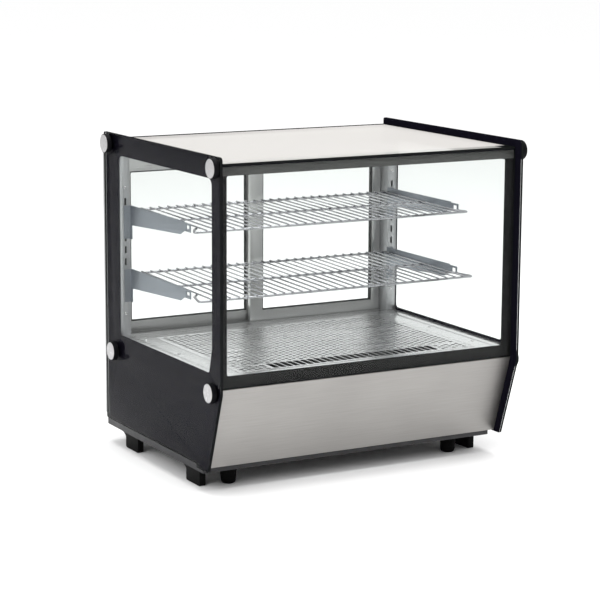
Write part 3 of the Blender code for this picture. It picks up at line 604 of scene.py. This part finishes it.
def inside_window(tree, low, high):
    """One inside a rectangle seen from above, and zero outside it."""
    place = tree.nodes.new("ShaderNodeSeparateXYZ")
    tree.links.new(node_of(tree, "TEX_COORD").outputs["Object"], place.inputs["Vector"])
    tests = []
    for axis, start, end in zip("XY", low, high):
        off = math_node(tree, "SUBTRACT", place.outputs[axis], (start + end) / 2)
        size = math_node(tree, "ABSOLUTE", off)
        tests.append(math_node(tree, "LESS_THAN", size, (end - start) / 2))
    return math_node(tree, "MULTIPLY", *tests)


def top_glass():
    """The top pane: a painted reflection of diffuse white where it is clear, and without gloss
    over its black border.
    """
    mat = clear_glass("top_clear_glass")
    tree = mat.node_tree
    inside = inside_window(tree, *TOP_WINDOW)
    mix = node_of(tree, "MIX_SHADER")
    strength = mix.inputs["Fac"].links[0].from_socket
    tree.links.new(math_node(tree, "MULTIPLY", strength, inside), mix.inputs["Fac"])
    # Painted reflection: diffuse white, growing at glancing views, stands in for the pane's
    # mirrored light.
    painted_reflection_layer = tree.nodes.new("ShaderNodeBsdfDiffuse")
    painted_reflection_layer.inputs["Color"].default_value = (*PAINTED_REFLECTION_COLOUR, 1.0)
    painted_reflection_share = tree.nodes.new("ShaderNodeMapRange")
    painted_reflection_share.inputs["From Min"].default_value = PAINTED_REFLECTION_START
    painted_reflection_share.inputs["To Max"].default_value = PAINTED_REFLECTION
    facing = node_of(tree, "LAYER_WEIGHT")
    tree.links.new(facing.outputs["Facing"], painted_reflection_share.inputs["Value"])
    painted_reflection_cover = math_node(tree, "MULTIPLY", painted_reflection_share.outputs["Result"], inside)
    with_painted_reflection = tree.nodes.new("ShaderNodeMixShader")
    tree.links.new(painted_reflection_cover, with_painted_reflection.inputs["Fac"])
    tree.links.new(mix.outputs["Shader"], with_painted_reflection.inputs[1])
    tree.links.new(painted_reflection_layer.outputs["BSDF"], with_painted_reflection.inputs[2])
    tree.links.new(with_painted_reflection.outputs["Shader"], tree.nodes["Material Output"].inputs["Surface"])
    return mat


def black_enamel(name, colour):
    """Ceramic print: an even black with a slight mottle and a soft gloss."""
    made = Finish(name, colour, 0.18)
    mottle = made.noise(90.0)
    made.blend(mottle, shade(colour, 0.92), shade(colour, 1.08))
    made.wire(made.range(made.noise(25.0), 0.14, 0.24), "Roughness")
    made.set("Specular IOR Level", 0.0)
    return made.material


PANE = clear_glass()
TOP_PANE = top_glass()
PRINT = black_enamel("fired_black_border", (0.0052, 0.0047, 0.0085))
FRONT_PRINT = black_enamel("front_border_print", (0.016, 0.016, 0.016))
EDGE = black_enamel("cut_glass_edge", (0.010, 0.011, 0.011))
print("glass finishes:", PANE.name, PRINT.name, EDGE.name)

# %% [markdown]
# ### Stainless steel
#
# The grain of brushed steel is long, fine scratches in one direction. We
# stretch a noise along that direction until it turns into streaks, and let
# the streaks vary roughness and height far more than colour. A slow second
# noise stands for the uneven sheen of a large thin sheet.

# %% Steel finishes


def brushed(name, colour, roughness, grain=(1, 60, 60), depth=0.006 * MM):
    """Brushed stainless with its grain along the axis that isn't stretched."""
    made = Finish(name, colour, roughness, 1.0)
    streaks = made.noise(14.0, grain, 4.0)
    clouds = made.noise(5.0, detail=2.0)
    made.blend(clouds, shade(colour, 0.95), shade(colour, 1.05))
    made.wire(made.range(streaks, roughness - 0.07, roughness + 0.08), "Roughness")
    made.bump(streaks, depth, 0.35)
    return made.material


def bright(name, colour, roughness):
    """Polished or plated metal with faint handling marks."""
    made = Finish(name, colour, roughness, 1.0)
    marks = made.noise(160.0, detail=4.0)
    made.wire(made.range(marks, roughness * 0.6, roughness * 1.6), "Roughness")
    made.blend(made.noise(12.0), shade(colour, 0.96), shade(colour, 1.03))
    return made.material


PANEL_STEEL = brushed("front_panel_steel", (0.335, 0.325, 0.313), 0.5)
POST_STEEL = brushed("post_steel", (0.47, 0.475, 0.485), 0.46, (60, 60, 1))
HEADER_STEEL = brushed("header_steel", (0.46, 0.46, 0.455), 0.34)
BRACKET_STEEL = brushed("bracket_steel", (0.26, 0.28, 0.31), 0.42, (60, 1, 60))
SERVICE_STEEL = brushed("service_panel_steel", (0.50, 0.50, 0.49), 0.36)
DECK_STEEL = brushed("deck_steel", (0.76, 0.755, 0.765), 0.26, (1, 60, 60), 0.001 * MM)
CHROME = bright("shelf_chrome", (0.40, 0.40, 0.42), 0.18)
CAP_STEEL = bright("cap_face", (0.46, 0.455, 0.46), 0.38)
SCREW_STEEL = bright("screw_steel", (0.60, 0.60, 0.60), 0.22)
DOOR_ALLOY = brushed("door_alloy", (0.54, 0.54, 0.535), 0.40, (60, 60, 1))
TRACK_ALLOY = brushed("track_alloy", (0.40, 0.40, 0.40), 0.35)
HEATER_STEEL = bright("heat_tinted_steel", (0.30, 0.26, 0.22), 0.35)

# %% [markdown]
# ### Paint, plastic and rubber
#
# Powder coat has an orange-peel surface a millimetre across, moulded plastic
# a finer leather-like grain, and rubber is the dullest of the three. The
# colours are close to black, so it is the gloss and the bump that tell them
# apart.

# %% Black finishes


def powder_coat(name, colour, roughness):
    """Baked powder paint with orange peel."""
    made = Finish(name, colour, roughness)
    peel = made.noise(700.0, detail=1.0)
    made.blend(made.noise(30.0), shade(colour, 0.9), shade(colour, 1.12))
    made.wire(made.range(made.noise(60.0), roughness - 0.06, roughness + 0.06), "Roughness")
    made.bump(peel, 0.02 * MM, 0.4)
    return made.material


def moulded(name, colour, roughness, shine=0.5):
    """Moulded plastic or rubber with a fine grain."""
    made = Finish(name, colour, roughness)
    made.set("Specular IOR Level", shine)
    grain = made.noise(2600.0, detail=2.0)
    made.blend(made.noise(45.0), shade(colour, 0.85), shade(colour, 1.15))
    made.wire(made.range(grain, roughness - 0.08, roughness + 0.08), "Roughness")
    made.bump(grain, 0.01 * MM, 0.5)
    return made.material


BASE_COAT = powder_coat("black_powder_coat", (0.012, 0.012, 0.014), 0.5)
CAP_BLACK = moulded("cap_black", (0.004, 0.004, 0.005), 0.5, 0.05)
FOOT_PLASTIC = moulded("foot_plastic", (0.003, 0.003, 0.003), 0.55, 0.05)
FOOT_RUBBER = moulded("foot_rubber", (0.003, 0.003, 0.003), 0.7, 0.05)
CONTROL_PLASTIC = moulded("control_plastic", (0.02, 0.02, 0.022), 0.45)
BUTTON_PLASTIC = moulded("button_plastic", (0.09, 0.09, 0.095), 0.4)
ROCKER_PLASTIC = moulded("rocker_plastic", (0.015, 0.015, 0.015), 0.3)
FAN_PLASTIC = moulded("fan_plastic", (0.015, 0.015, 0.017), 0.5)
GASKET = moulded("door_gasket", (0.02, 0.02, 0.02), 0.65)

# %% [markdown]
# ## The side glasses
#
# Each side glass is one plate whose front edge drops straight down, then
# slopes back to the counter. The black border is fired on its inner side, so
# from outside we see it through five millimetres of glass. We cut the plate
# and the border from the same outline, and then give the plate's edge faces,
# the ones that don't look along X, the dark edge finish.

# %% Side glass outline and window
side_low, side_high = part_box("side_glass_left")
KNEE_Z = 210 * MM
PRINT_EASE = 0.1 * MM
TOE = (-229 * MM, side_low[2])
SKIRT = (-182 * MM, 55 * MM)
CAP_HOLE = 4.7 * MM
CAP_PLACES = {
    "top_front": (-263.5 * MM, 638.5 * MM),
    "top_rear": (222 * MM, 637.5 * MM),
    "low_front": (-252 * MM, 210 * MM),
    "low_rear": (200 * MM, 207 * MM),
}


def side_outline():
    """The edge of a side glass, seen from the side as (Y, Z)."""
    back, front, top = side_high[1], side_low[1], side_high[2]
    corners = (
        (back, top, 5 * MM),
        (front, top, 7 * MM),
        (front, KNEE_Z, 12 * MM),
        (*TOE, 4 * MM),
        (SKIRT[0], TOE[1], 2 * MM),
        (*SKIRT, 2 * MM),
        (back, SKIRT[1], 5 * MM),
    )
    return rounded(corners, 8)


def side_window():
    """The clear window in the black border."""
    corners = (
        (182 * MM, 616 * MM, 14 * MM),
        (-239 * MM, 616 * MM, 14 * MM),
        (-239 * MM, 292 * MM, 30 * MM),
        (-226.5 * MM, 243.5 * MM, 6 * MM),
        (182 * MM, 243.5 * MM, 8 * MM),
    )
    return rounded(corners, 8)


print("side glass outline points:", len(side_outline()))

# %% Cut the side glasses and their borders


def darken_edges(piece, axis):
    """Puts the dark edge finish on the faces of a pane that don't look along an axis."""
    piece.data.materials.append(EDGE)
    for face in piece.data.polygons:
        if abs(face.normal["XYZ".index(axis)]) < 0.9:
            face.material_index = 1


for side in ("left", "right"):
    low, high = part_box(f"side_glass_{side}")
    holes = [circle(place, CAP_HOLE) for place in CAP_PLACES.values()]
    loops = [side_outline()] + holes
    glass = sheet(f"side_pane_{side}", "X", (low[0], high[0]), loops, 0.6 * MM)
    fit(glass, PANE, "case_glass", f"side_glass_{side}")
    darken_edges(glass, "X")
    low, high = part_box(f"side_border_{side}")
    loops = [side_outline(), side_window()]
    border = sheet(f"side_print_{side}", "X", (low[0], high[0]), loops, PRINT_EASE)
    fit(border, PRINT, "black_print", f"side_border_{side}")
    counts = [len(piece.data.polygons) for piece in (glass, border)]
    print(side, "glass and border faces:", counts)

# %% [markdown]
# ## The front and top glasses
#
# These two are plain rectangles with ground edges. The front one carries a
# black border at its sides and foot; behind its top edge sits a grey channel
# that hides the lamp. The top glass rests on the front one and the rear
# header, and its border covers both joints.

# %% Front glass, top glass and borders
front_low, front_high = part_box("front_glass")
top_low, top_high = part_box("top_glass")
SIDE_BAR = 21 * MM
FOOT_BAR = 24.5 * MM
TOP_BAR = 18 * MM
WINDOW_CORNER = 4 * MM

front = sheet(
    "front_pane",
    "Y",
    (front_low[1], front_high[1]),
    [rectangle((front_low[0], front_low[2]), (front_high[0], front_high[2]), 2 * MM)],
    0.5 * MM,
)
fit(front, PANE, "case_glass", "front_glass")
darken_edges(front, "Y")

top = sheet(
    "top_pane",
    "Z",
    (top_low[2], top_high[2]),
    [rectangle((top_low[0], top_low[1]), (top_high[0], top_high[1]), 2 * MM)],
    0.5 * MM,
)
fit(top, TOP_PANE, "case_glass", "top_glass")
darken_edges(top, "Z")

GREY_BAR = (0.088, 0.088, 0.086)


def fade_up(mat, height, colour):
    """Makes a print grey above a height, where the lamp channel shows through it."""
    tree = mat.node_tree
    base = tree.nodes["Principled BSDF"].inputs["Base Color"]
    place = tree.nodes.new("ShaderNodeSeparateXYZ")
    tree.links.new(node_of(tree, "TEX_COORD").outputs["Object"], place.inputs["Vector"])
    both = tree.nodes.new("ShaderNodeMix")
    both.data_type = "RGBA"
    both.inputs["B"].default_value = (*colour, 1.0)
    above = math_node(tree, "GREATER_THAN", place.outputs["Z"], height)
    tree.links.new(above, both.inputs["Factor"])
    tree.links.new(base.links[0].from_socket, both.inputs["A"])
    tree.links.new(next(o for o in both.outputs if o.type == "RGBA"), base)


border_low, border_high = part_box("front_border")
window = rectangle(
    (border_low[0] + SIDE_BAR, border_low[2] + FOOT_BAR),
    (border_high[0] - SIDE_BAR, border_high[2] - TOP_BAR),
    WINDOW_CORNER,
)
outline = rectangle((border_low[0], border_low[2]), (border_high[0], border_high[2]))
border = sheet("front_print", "Y", (border_low[1], border_high[1]), [outline, window], PRINT_EASE)
fit(border, FRONT_PRINT, "black_print", "front_border")
fade_up(FRONT_PRINT, border_high[2] - TOP_BAR, GREY_BAR)

border_low, border_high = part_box("top_border")
window = rectangle(*TOP_WINDOW, WINDOW_CORNER)
outline = rectangle((border_low[0], border_low[1]), (border_high[0], border_high[1]))
border = sheet("top_print", "Z", (border_low[2], border_high[2]), [outline, window], PRINT_EASE)
fit(border, PRINT, "black_print", "top_border")

# %% [markdown]
# ## The caps
#
# A cap is a black turned body with a satin steel disc let into its face. The
# body's profile starts on the axis behind the glass, runs out round the rim
# and ends at the seat of the disc. A disc that sits 0.3 mm proud, with an
# eased edge, gives the bright outline that shows at any angle.

# %% Turn the caps
CAP_RADIUS = 19.5 * MM
DISC_RADIUS = 18.2 * MM
CAP_DEPTH = 10.6 * MM
SPIGOT = 4.2 * MM
CAP_SIDES = 56
CAP_BODY = [
    (0, -4.6 * MM),
    (SPIGOT, -4.6 * MM),
    (SPIGOT, 0.3 * MM),
    (CAP_RADIUS - 0.6 * MM, 0.3 * MM),
    (CAP_RADIUS, 0.9 * MM),
    (CAP_RADIUS, CAP_DEPTH - 1.1 * MM),
    (CAP_RADIUS - 0.35 * MM, CAP_DEPTH - 0.35 * MM),
    (CAP_RADIUS - 1.0 * MM, CAP_DEPTH),
    (DISC_RADIUS + 0.1 * MM, CAP_DEPTH),
    (DISC_RADIUS + 0.1 * MM, CAP_DEPTH - 0.6 * MM),
    (0, CAP_DEPTH - 0.6 * MM),
]
CAP_DISC = [
    (0, CAP_DEPTH - 0.55 * MM),
    (DISC_RADIUS, CAP_DEPTH - 0.55 * MM),
    (DISC_RADIUS, CAP_DEPTH - 0.1 * MM),
    (DISC_RADIUS - 0.15 * MM, CAP_DEPTH + 0.25 * MM),
    (DISC_RADIUS - 0.7 * MM, CAP_DEPTH + 0.38 * MM),
    (0, CAP_DEPTH + 0.38 * MM),
]
for side, axis in (("left", "-X"), ("right", "X")):
    face = side_low[0] if side == "left" else -side_low[0]
    for corner, (y, z) in CAP_PLACES.items():
        place = (face, y, z)
        body = turned(f"cap_body_{side}_{corner}", CAP_BODY, place, axis, CAP_SIDES)
        fit(body, CAP_BLACK, "cap_metal", f"cap_{side}_{corner}")
        disc = turned(f"cap_disc_{side}_{corner}", CAP_DISC, place, axis, CAP_SIDES)
        fit(disc, CAP_STEEL, "cap_metal")
print("caps turned:", 2 * len(CAP_PLACES))

# %% [markdown]
# ## The sloping front panel
#
# One sheet, folded twice: a lip behind the foot of the front glass, the
# broad face that slopes back to the counter, and a hem under the case. The
# folds are drawn in the side view and pulled across the whole width.

# %% Fold the front panel
SHEET = 1.2 * MM
panel_low, panel_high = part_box("front_panel")
PANEL_PATH = in_mm([
    (-252, 215.5),
    (-264, 215.5),
    (-209.8, 50),
    (-203, 50),
])
panel = sheet(
    "front_apron",
    "X",
    (panel_low[0], panel_high[0]),
    [fold(bend(PANEL_PATH, 1.6 * MM), SHEET)],
    0.15 * MM,
)
fit(panel, PANEL_STEEL, "brushed_panel", "front_panel")
print("front panel faces:", len(panel.data.polygons))

# %% [markdown]
# ## The base and its feet
#
# The pan and the side sheets are folded steel with a black powder coat. Their
# shape in the model is right, so they only get eased edges. The blade feet
# get a larger radius, as moulded parts have, and the round feet are turned
# again with a soft bottom edge and a moulded step.

# %% Base pan, side sheets and feet
for node in ("base_pan", "base_side_left", "base_side_right"):
    fit(softened(node, 0.3 * MM), BASE_COAT, "black_base", node)

ROUND_FOOT = in_mm([
    (0, 35.7),
    (17.0, 35.7),
    (17.2, 35.2),
    (17.1, 29.0),
    (16.7, 28.4),
    (16.4, 26.0),
    (15.2, 8.0),
    (14.2, 3.6),
    (12.6, 1.2),
    (10.8, 0.2),
    (10.0, 0.0),
    (6.0, 0.0),
    (5.6, 1.6),
    (0, 1.6),
])
for end in ("front", "rear"):
    for side in ("left", "right"):
        node = f"blade_foot_{end}_{side}"
        fit(softened(node, 1.0 * MM, 3), FOOT_PLASTIC, "foot_plastic", node)
        node = f"round_foot_{end}_{side}"
        low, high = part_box(node)
        middle = ((low[0] + high[0]) / 2, (low[1] + high[1]) / 2, 0.0)
        foot = turned(f"rubber_foot_{end}_{side}", ROUND_FOOT, middle, sides=48)
        fit(foot, FOOT_RUBBER, "foot_rubber", node)
print("round foot height in mm:", ROUND_FOOT[0][1] / MM)

# %% [markdown]
# ## The deck
#
# The deck is the brightest part of the case. Its frame is a polished sheet
# with raised rims along the sides. The insert is a perforated sheet that
# lifts out: small round holes in staggered rows, where each row is shifted by
# half a step, and at the front a row of long slots that let the warm air up
# along the glass. A thousand holes are a thousand loops in one 2D curve, so
# the sheet stays one closed mesh.

# %% Deck frame
fit(softened("deck_frame", 0.25 * MM), DECK_STEEL, "polished_deck", "deck_frame")

# %% Perforated insert
insert_low, insert_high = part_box("deck_insert")
HOLE = 4.5 * MM
HOLE_STEP = 25.2 * MM
ROW_STEP = 7.3 * MM
FIELD = ((-260 * MM, -166 * MM), (260 * MM, 143 * MM))
SLOT_SIZE = (12.5 * MM, 44 * MM)
SLOT_STEP = 15.2 * MM
SLOT_Y = -198 * MM
SLOT_REACH = 12


def hole_rows(low, high):
    """The centres of staggered holes that fill a rectangle."""
    rows = int((high[1] - low[1]) / ROW_STEP)
    count = int((high[0] - low[0]) / HOLE_STEP)
    for row in range(rows + 1):
        shift = HOLE_STEP / 2 if row % 2 else 0.0
        for i in range(count if row % 2 else count + 1):
            x = (low[0] + high[0]) / 2 + (i - count / 2) * HOLE_STEP + shift
            yield (x, low[1] + row * ROW_STEP)


def perforations():
    """Every hole of the insert: the field, the slots and the corners beside them."""
    loops = [circle(c, HOLE, 10) for c in hole_rows(*FIELD)]
    for i in range(-SLOT_REACH, SLOT_REACH + 1):
        loops.append(slot((i * SLOT_STEP, SLOT_Y), *SLOT_SIZE))
    inner = (SLOT_REACH + 1) * SLOT_STEP
    for sign in (-1, 1):
        ends = sorted((sign * inner, sign * 256 * MM))
        corner = hole_rows((ends[0], -216 * MM), (ends[1], -180 * MM))
        loops += [circle(c, HOLE, 10) for c in corner]
    return loops


holes = perforations()
edge = rectangle((insert_low[0], insert_low[1]), (insert_high[0], insert_high[1]), 2 * MM)
span = (insert_low[2], insert_high[2])
insert = sheet("perforated_insert", "Z", span, [edge] + holes, 0.15 * MM)
fit(insert, DECK_STEEL, "perforated_sheet", "deck_insert")
print("holes in the insert:", len(holes), "faces:", len(insert.data.polygons))

# %% [markdown]
# ## Screws
#
# Small pan-head screws hold the deck, the posts and the rear panel. A screw
# head is a low dome with a recess. The recess is a real cross cut into the
# dome: two bars, subtracted with a Boolean modifier.

# %% A screw head
SCREW = in_mm([
    (0, 0),
    (3.6, 0),
    (3.7, 0.4),
    (3.4, 1.2),
    (2.6, 1.8),
    (1.4, 2.15),
    (0, 2.25),
])
CROSS_BAR = (4.0 * MM, 0.9 * MM)
RECESS_DEPTH = 2.2 * MM
RECESS_MIDDLE = 2.0 * MM
SMALL_SCREW = 0.9
DECK_SCREW_X = 296 * MM
DECK_SCREW_YS = (-180 * MM, -15 * MM, 140 * MM)
LEDGE_SCREW = (210 * MM, -241 * MM)
POST_SCREW_X = 321 * MM
POST_SCREW_ZS = (549 * MM, 286.6 * MM)


def screw(name, place, axis, scale=1.0, body="case", slot_name="polished_deck"):
    """A pan-head screw with a cross recess."""
    head = turned(name, [(r * scale, z * scale) for r, z in SCREW], (0, 0, 0), "Z", 24)
    bars = bpy.data.meshes.new(f"{name}_cross")
    bm = bmesh.new()
    for width, length in (CROSS_BAR, CROSS_BAR[::-1]):
        made = bmesh.ops.create_cube(bm, size=1.0)["verts"]
        size = (width * scale, length * scale, RECESS_DEPTH * scale)
        bmesh.ops.scale(bm, vec=size, verts=made)
        bmesh.ops.translate(bm, vec=(0, 0, RECESS_MIDDLE * scale), verts=made)
    bm.to_mesh(bars)
    bm.free()
    cutter = link(bpy.data.objects.new(f"{name}_cross", bars))
    cut = head.modifiers.new("recess", "BOOLEAN")
    cut.operation = "DIFFERENCE"
    cut.object = cutter
    made = clean_mesh(head, Matrix.Identity(4), 40)
    bpy.data.objects.remove(cutter, do_unlink=True)
    made.data.transform(Matrix.Translation(place) @ spin_to(axis))
    return fit(made, SCREW_STEEL, slot_name, body=body)


deck_z = insert_high[2] - 0.5 * MM
post_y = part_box("rear_post_left")[0][1]
for side, x in (("l", -1), ("r", 1)):
    for i, y in enumerate(DECK_SCREW_YS):
        screw(f"deck_screw_{side}{i}", (x * DECK_SCREW_X, y, deck_z), "Z", SMALL_SCREW)
    place = (x * LEDGE_SCREW[0], LEDGE_SCREW[1], deck_z)
    screw(f"ledge_screw_{side}", place, "Z", SMALL_SCREW)
    for i, z in enumerate(POST_SCREW_ZS):
        place = (x * POST_SCREW_X, post_y, z)
        screw(f"post_screw_{side}{i}", place, "-Y", SMALL_SCREW, slot_name="post_steel")
print("deck screws stand on z =", round(deck_z / MM, 1), "mm")

# %% [markdown]
# ## Posts, header and door tracks
#
# The posts are square tubes with a column of slots for the shelf brackets.
# The header is a folded channel that hides the tops of the doors, and the two
# tracks are extrusions. Their folds and slots are in the model, so a fine
# bevel and the right grain direction finish them.

# %% Finish the rear frame
for side in ("left", "right"):
    node = f"rear_post_{side}"
    fit(softened(node, 0.45 * MM), POST_STEEL, "post_steel", node)
fit(softened("rear_header", 0.4 * MM), HEADER_STEEL, "header_steel", "rear_header")
for node in ("door_sill", "door_head"):
    fit(softened(node, 0.2 * MM), TRACK_ALLOY, "door_track", node)

# %% [markdown]
# ## The sliding doors
#
# Each door is a pane in a four-sided aluminium frame, sealed by a thin black
# gasket on both faces, and it has a finger cup let into its outer stile. All
# of a door's pieces ride on the door's own body, so they slide together.

# %% Doors
BEAD = 2.2 * MM
BEAD_HALF = 0.9 * MM
BEAD_STEP = 1.1 * MM
PANE_CORNER = 1 * MM


def gasket(name, low, high, y, body):
    """A thin rubber bead round the pane on one face of the frame."""
    outer = rectangle((low[0], low[2]), (high[0], high[2]), PANE_CORNER)
    inner_low = (low[0] + BEAD, low[2] + BEAD)
    inner = rectangle(inner_low, (high[0] - BEAD, high[2] - BEAD), PANE_CORNER)
    made = sheet(name, "Y", (y - BEAD_HALF, y + BEAD_HALF), [outer, inner], 0.25 * MM)
    return fit(made, GASKET, "pull_plastic", body=body)


for door in ("inner_door", "outer_door"):
    node = f"{door}_frame"
    fit(softened(node, 0.5 * MM), DOOR_ALLOY, "door_aluminium", node, body=door)
    low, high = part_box(f"{door}_glass")
    loop = rectangle((low[0], low[2]), (high[0], high[2]), PANE_CORNER)
    pane = sheet(f"{door}_pane", "Y", (low[1], high[1]), [loop], 0.3 * MM)
    fit(pane, PANE, "door_pane", f"{door}_glass", body=door)
    for face, y in (("front", low[1] - BEAD_STEP), ("back", high[1] + BEAD_STEP)):
        gasket(f"{door}_gasket_{face}", low, high, y, door)
    node = f"{door}_pull"
    fit(softened(node, 0.35 * MM), CONTROL_PLASTIC, "pull_plastic", node, body=door)
    print(door, "glass width in mm:", round((high[0] - low[0]) / MM, 1))

# %% [markdown]
# ## Wire shelves
#
# A shelf is welded from round wire: rods from front to back, laid on three
# thicker cross wires. The front wire's ends bend inwards and back to the
# outermost rods. The whole grid leans about a degree towards the customer. We
# draw it flat, then tilt it about its back wire. The lower shelf is the
# deeper one, since the case widens towards its foot.

# %% Weld the shelves
TILT = math.radians(1.1)
RODS = 30
ROD_SPAN = 580 * MM
ROD = 1.6 * MM
ROD_TIP = 3.4 * MM
CROSS = 2.5 * MM
CROSS_HALF = 304 * MM
CROSS_DROP = 3.3 * MM
FRONT_HALF = 318.5 * MM
BACK_Y = 170 * MM
DEPTHS = {"upper": 297 * MM, "lower": 318 * MM}
WIRE_BEND = 5 * MM
BACK_HEIGHTS = {"upper": 506.5 * MM, "lower": 374.5 * MM}
FRONT_BENDS = [(290 * MM, -84 * MM), (303 * MM, -100 * MM)]


def tilt_point(point, back_z):
    """Leans a point of the flat grid about the back wire and lifts it to its level."""
    x, y, z = point
    lean, rise = math.cos(TILT), math.sin(TILT)
    return (x, BACK_Y + y * lean - z * rise, back_z + y * rise + z * lean)


def front_wire(depth):
    """The front wire as (X, Y): across the front, with both ends bent back."""
    half = [(x, y - BACK_Y) for x, y in FRONT_BENDS]
    path = half + [(FRONT_HALF - CROSS, -depth)]
    return bend(path + [(-x, y) for x, y in path[::-1]], WIRE_BEND)


def weld_shelf(level):
    """The rods and the cross wires of a shelf."""
    back_z, depth = BACK_HEIGHTS[level], DEPTHS[level]
    rods = []
    for i in range(RODS):
        x = -ROD_SPAN / 2 + ROD_SPAN * i / (RODS - 1)
        ends = [(x, -depth - ROD_TIP, 0.0), (x, ROD_TIP, 0.0)]
        rods.append([tilt_point(p, back_z) for p in ends])
    grid = wires(f"{level}_shelf_rods", rods, ROD, 3)
    fit(grid, CHROME, "chrome_wire", f"{level}_shelf")
    crosses = []
    for y in (0.0, -depth / 2):
        ends = [(-CROSS_HALF, y, -CROSS_DROP), (CROSS_HALF, y, -CROSS_DROP)]
        crosses.append([tilt_point(p, back_z) for p in ends])
    bent = [(x, y, -CROSS_DROP) for x, y in front_wire(depth)]
    crosses.append([tilt_point(p, back_z) for p in bent])
    bars = wires(f"{level}_shelf_bars", crosses, CROSS, 5)
    fit(bars, CHROME, "chrome_wire")
    return back_z


for level in ("upper", "lower"):
    print(level, "shelf: back wire at z =", round(weld_shelf(level) / MM, 1), "mm")

# %% [markdown]
# The brackets are pressed from two-millimetre sheet. Their model has the
# hooks, the lip that the shelf lies on and the eye at the front end, so they
# only need eased edges and a satin grain along their length.

# %% Finish the brackets
for level in ("upper", "lower"):
    for side in ("left", "right"):
        node = f"{level}_bracket_{side}"
        fit(softened(node, 0.3 * MM), BRACKET_STEEL, "bracket_steel", node)

# %% [markdown]
# ## The lamp
#
# A slim aluminium channel behind the top edge of the front glass, with an
# opal strip in its mouth. The strip glows a little, as a warm lamp would if
# it were dimmed for a product view.

# %% Lamp channel and diffuser
LAMP_GREY = powder_coat("lamp_channel_grey", (0.10, 0.10, 0.098), 0.4)


def opal():
    """An opal diffuser that glows faintly."""
    made = Finish("opal_diffuser", (0.92, 0.90, 0.84), 0.35)
    made.blend(made.noise(40.0), (0.92, 0.90, 0.84), (0.95, 0.93, 0.88))
    made.set("Emission Color", (1.0, 0.93, 0.80, 1.0))
    made.set("Emission Strength", 0.6)
    return made.material


fit(softened("lamp_housing", 0.3 * MM), LAMP_GREY, "lamp_metal", "lamp_housing")
fit(softened("lamp_lens", 0.3 * MM), opal(), "lamp_diffuser", "lamp_lens")

# %% [markdown]
# ## The server's side
#
# The rear panel holds everything that needs a hand: vents, a controller with
# a small dark display and three buttons, two rocker switches and the gland
# for the mains lead.

# %% Rear panel and controls
fit(softened("rear_panel", 0.2 * MM, 1), SERVICE_STEEL, "rear_sheet", "rear_panel")
fit(softened("control_plate", 0.5 * MM), CONTROL_PLASTIC, "control_plastic", "control_plate")
panel_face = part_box("rear_panel")[1][1]
plate_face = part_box("control_plate")[1][1]
DISPLAY = ((84 * MM, 146 * MM), (136 * MM, 172 * MM))
DISPLAY_RIM = 2.2 * MM

for node in ("button_set", "button_down", "button_up"):
    fit(softened(node, 0.6 * MM, 3), BUTTON_PLASTIC, "button_plastic", node, body=node)
for node in ("power_rocker", "lamp_rocker"):
    fit(softened(node, 0.5 * MM, 3), ROCKER_PLASTIC, "rocker_plastic", node, body=node)


def display():
    """A dark glossy window with a fine bezel."""
    low, high = DISPLAY
    rim = DISPLAY_RIM
    inner = rectangle((low[0] + rim, low[1] + rim), (high[0] - rim, high[1] - rim), 1.2 * MM)
    loops = [rectangle(low, high, 2 * MM), inner]
    bezel = sheet("display_bezel", "Y", (plate_face, plate_face + 1.2 * MM), loops)
    fit(bezel, BUTTON_PLASTIC, "control_plastic")
    gloss = black_enamel("display_window", (0.012, 0.010, 0.012))
    glass = sheet("display_window", "Y", (plate_face, plate_face + 0.7 * MM), [inner])
    return fit(glass, gloss, "control_plastic")


display()

# %% [markdown]
# The rest of the service side is small hardware: screws round the panel and
# the control plate, and a gland nut with its collar.

# %% Rear hardware
PANEL_SCREWS = [(x * MM, z * MM) for x in (-300, 0, 300) for z in (72, 215)]
CONTROL_SCREWS = [(x * MM, z * MM) for x in (66, 244) for z in (134, 184)]
TINY_SCREW = 0.55
for i, (x, z) in enumerate(PANEL_SCREWS):
    place = (x, panel_face, z)
    screw(f"panel_screw_{i}", place, "Y", SMALL_SCREW, slot_name="rear_sheet")
for i, (x, z) in enumerate(CONTROL_SCREWS):
    place = (x, plate_face, z)
    screw(f"control_screw_{i}", place, "Y", TINY_SCREW, slot_name="control_plastic")

GLAND = in_mm([
    (0, -10),
    (7.9, -10),
    (7.9, 0.3),
    (12.4, 0.3),
    (12.5, 0.8),
    (12.5, 7.4),
    (12.0, 8.0),
    (10.6, 8.4),
    (10.6, 10.2),
    (11.2, 10.8),
    (11.2, 15.0),
    (9.2, 18.6),
    (8.0, 22.6),
    (7.2, 23.4),
    (4.6, 23.4),
    (4.2, 22.8),
    (4.2, 12.0),
    (0, 12.0),
])
low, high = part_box("cable_gland")
middle = ((low[0] + high[0]) / 2, panel_face, (low[2] + high[2]) / 2)
gland = turned("gland_collar", GLAND, middle, "Y", 36)
fit(gland, FOOT_PLASTIC, "gland_plastic", "cable_gland")

# %% [markdown]
# ## Inside the base
#
# Under the perforated deck a fan pushes air over a tubular element. They can
# be glimpsed through the holes and the vents, so they get honest finishes.

# %% Fan and heater
fit(softened("fan_housing", 0.5 * MM), FAN_PLASTIC, "fan_plastic", "fan_housing")
fit(softened("fan_rotor", 0.4 * MM), FAN_PLASTIC, "rotor_plastic", "fan_rotor", body="fan_rotor")
fit(softened("heater_element", 0.2 * MM, 1), HEATER_STEEL, "heater_sheath", "heater_element")
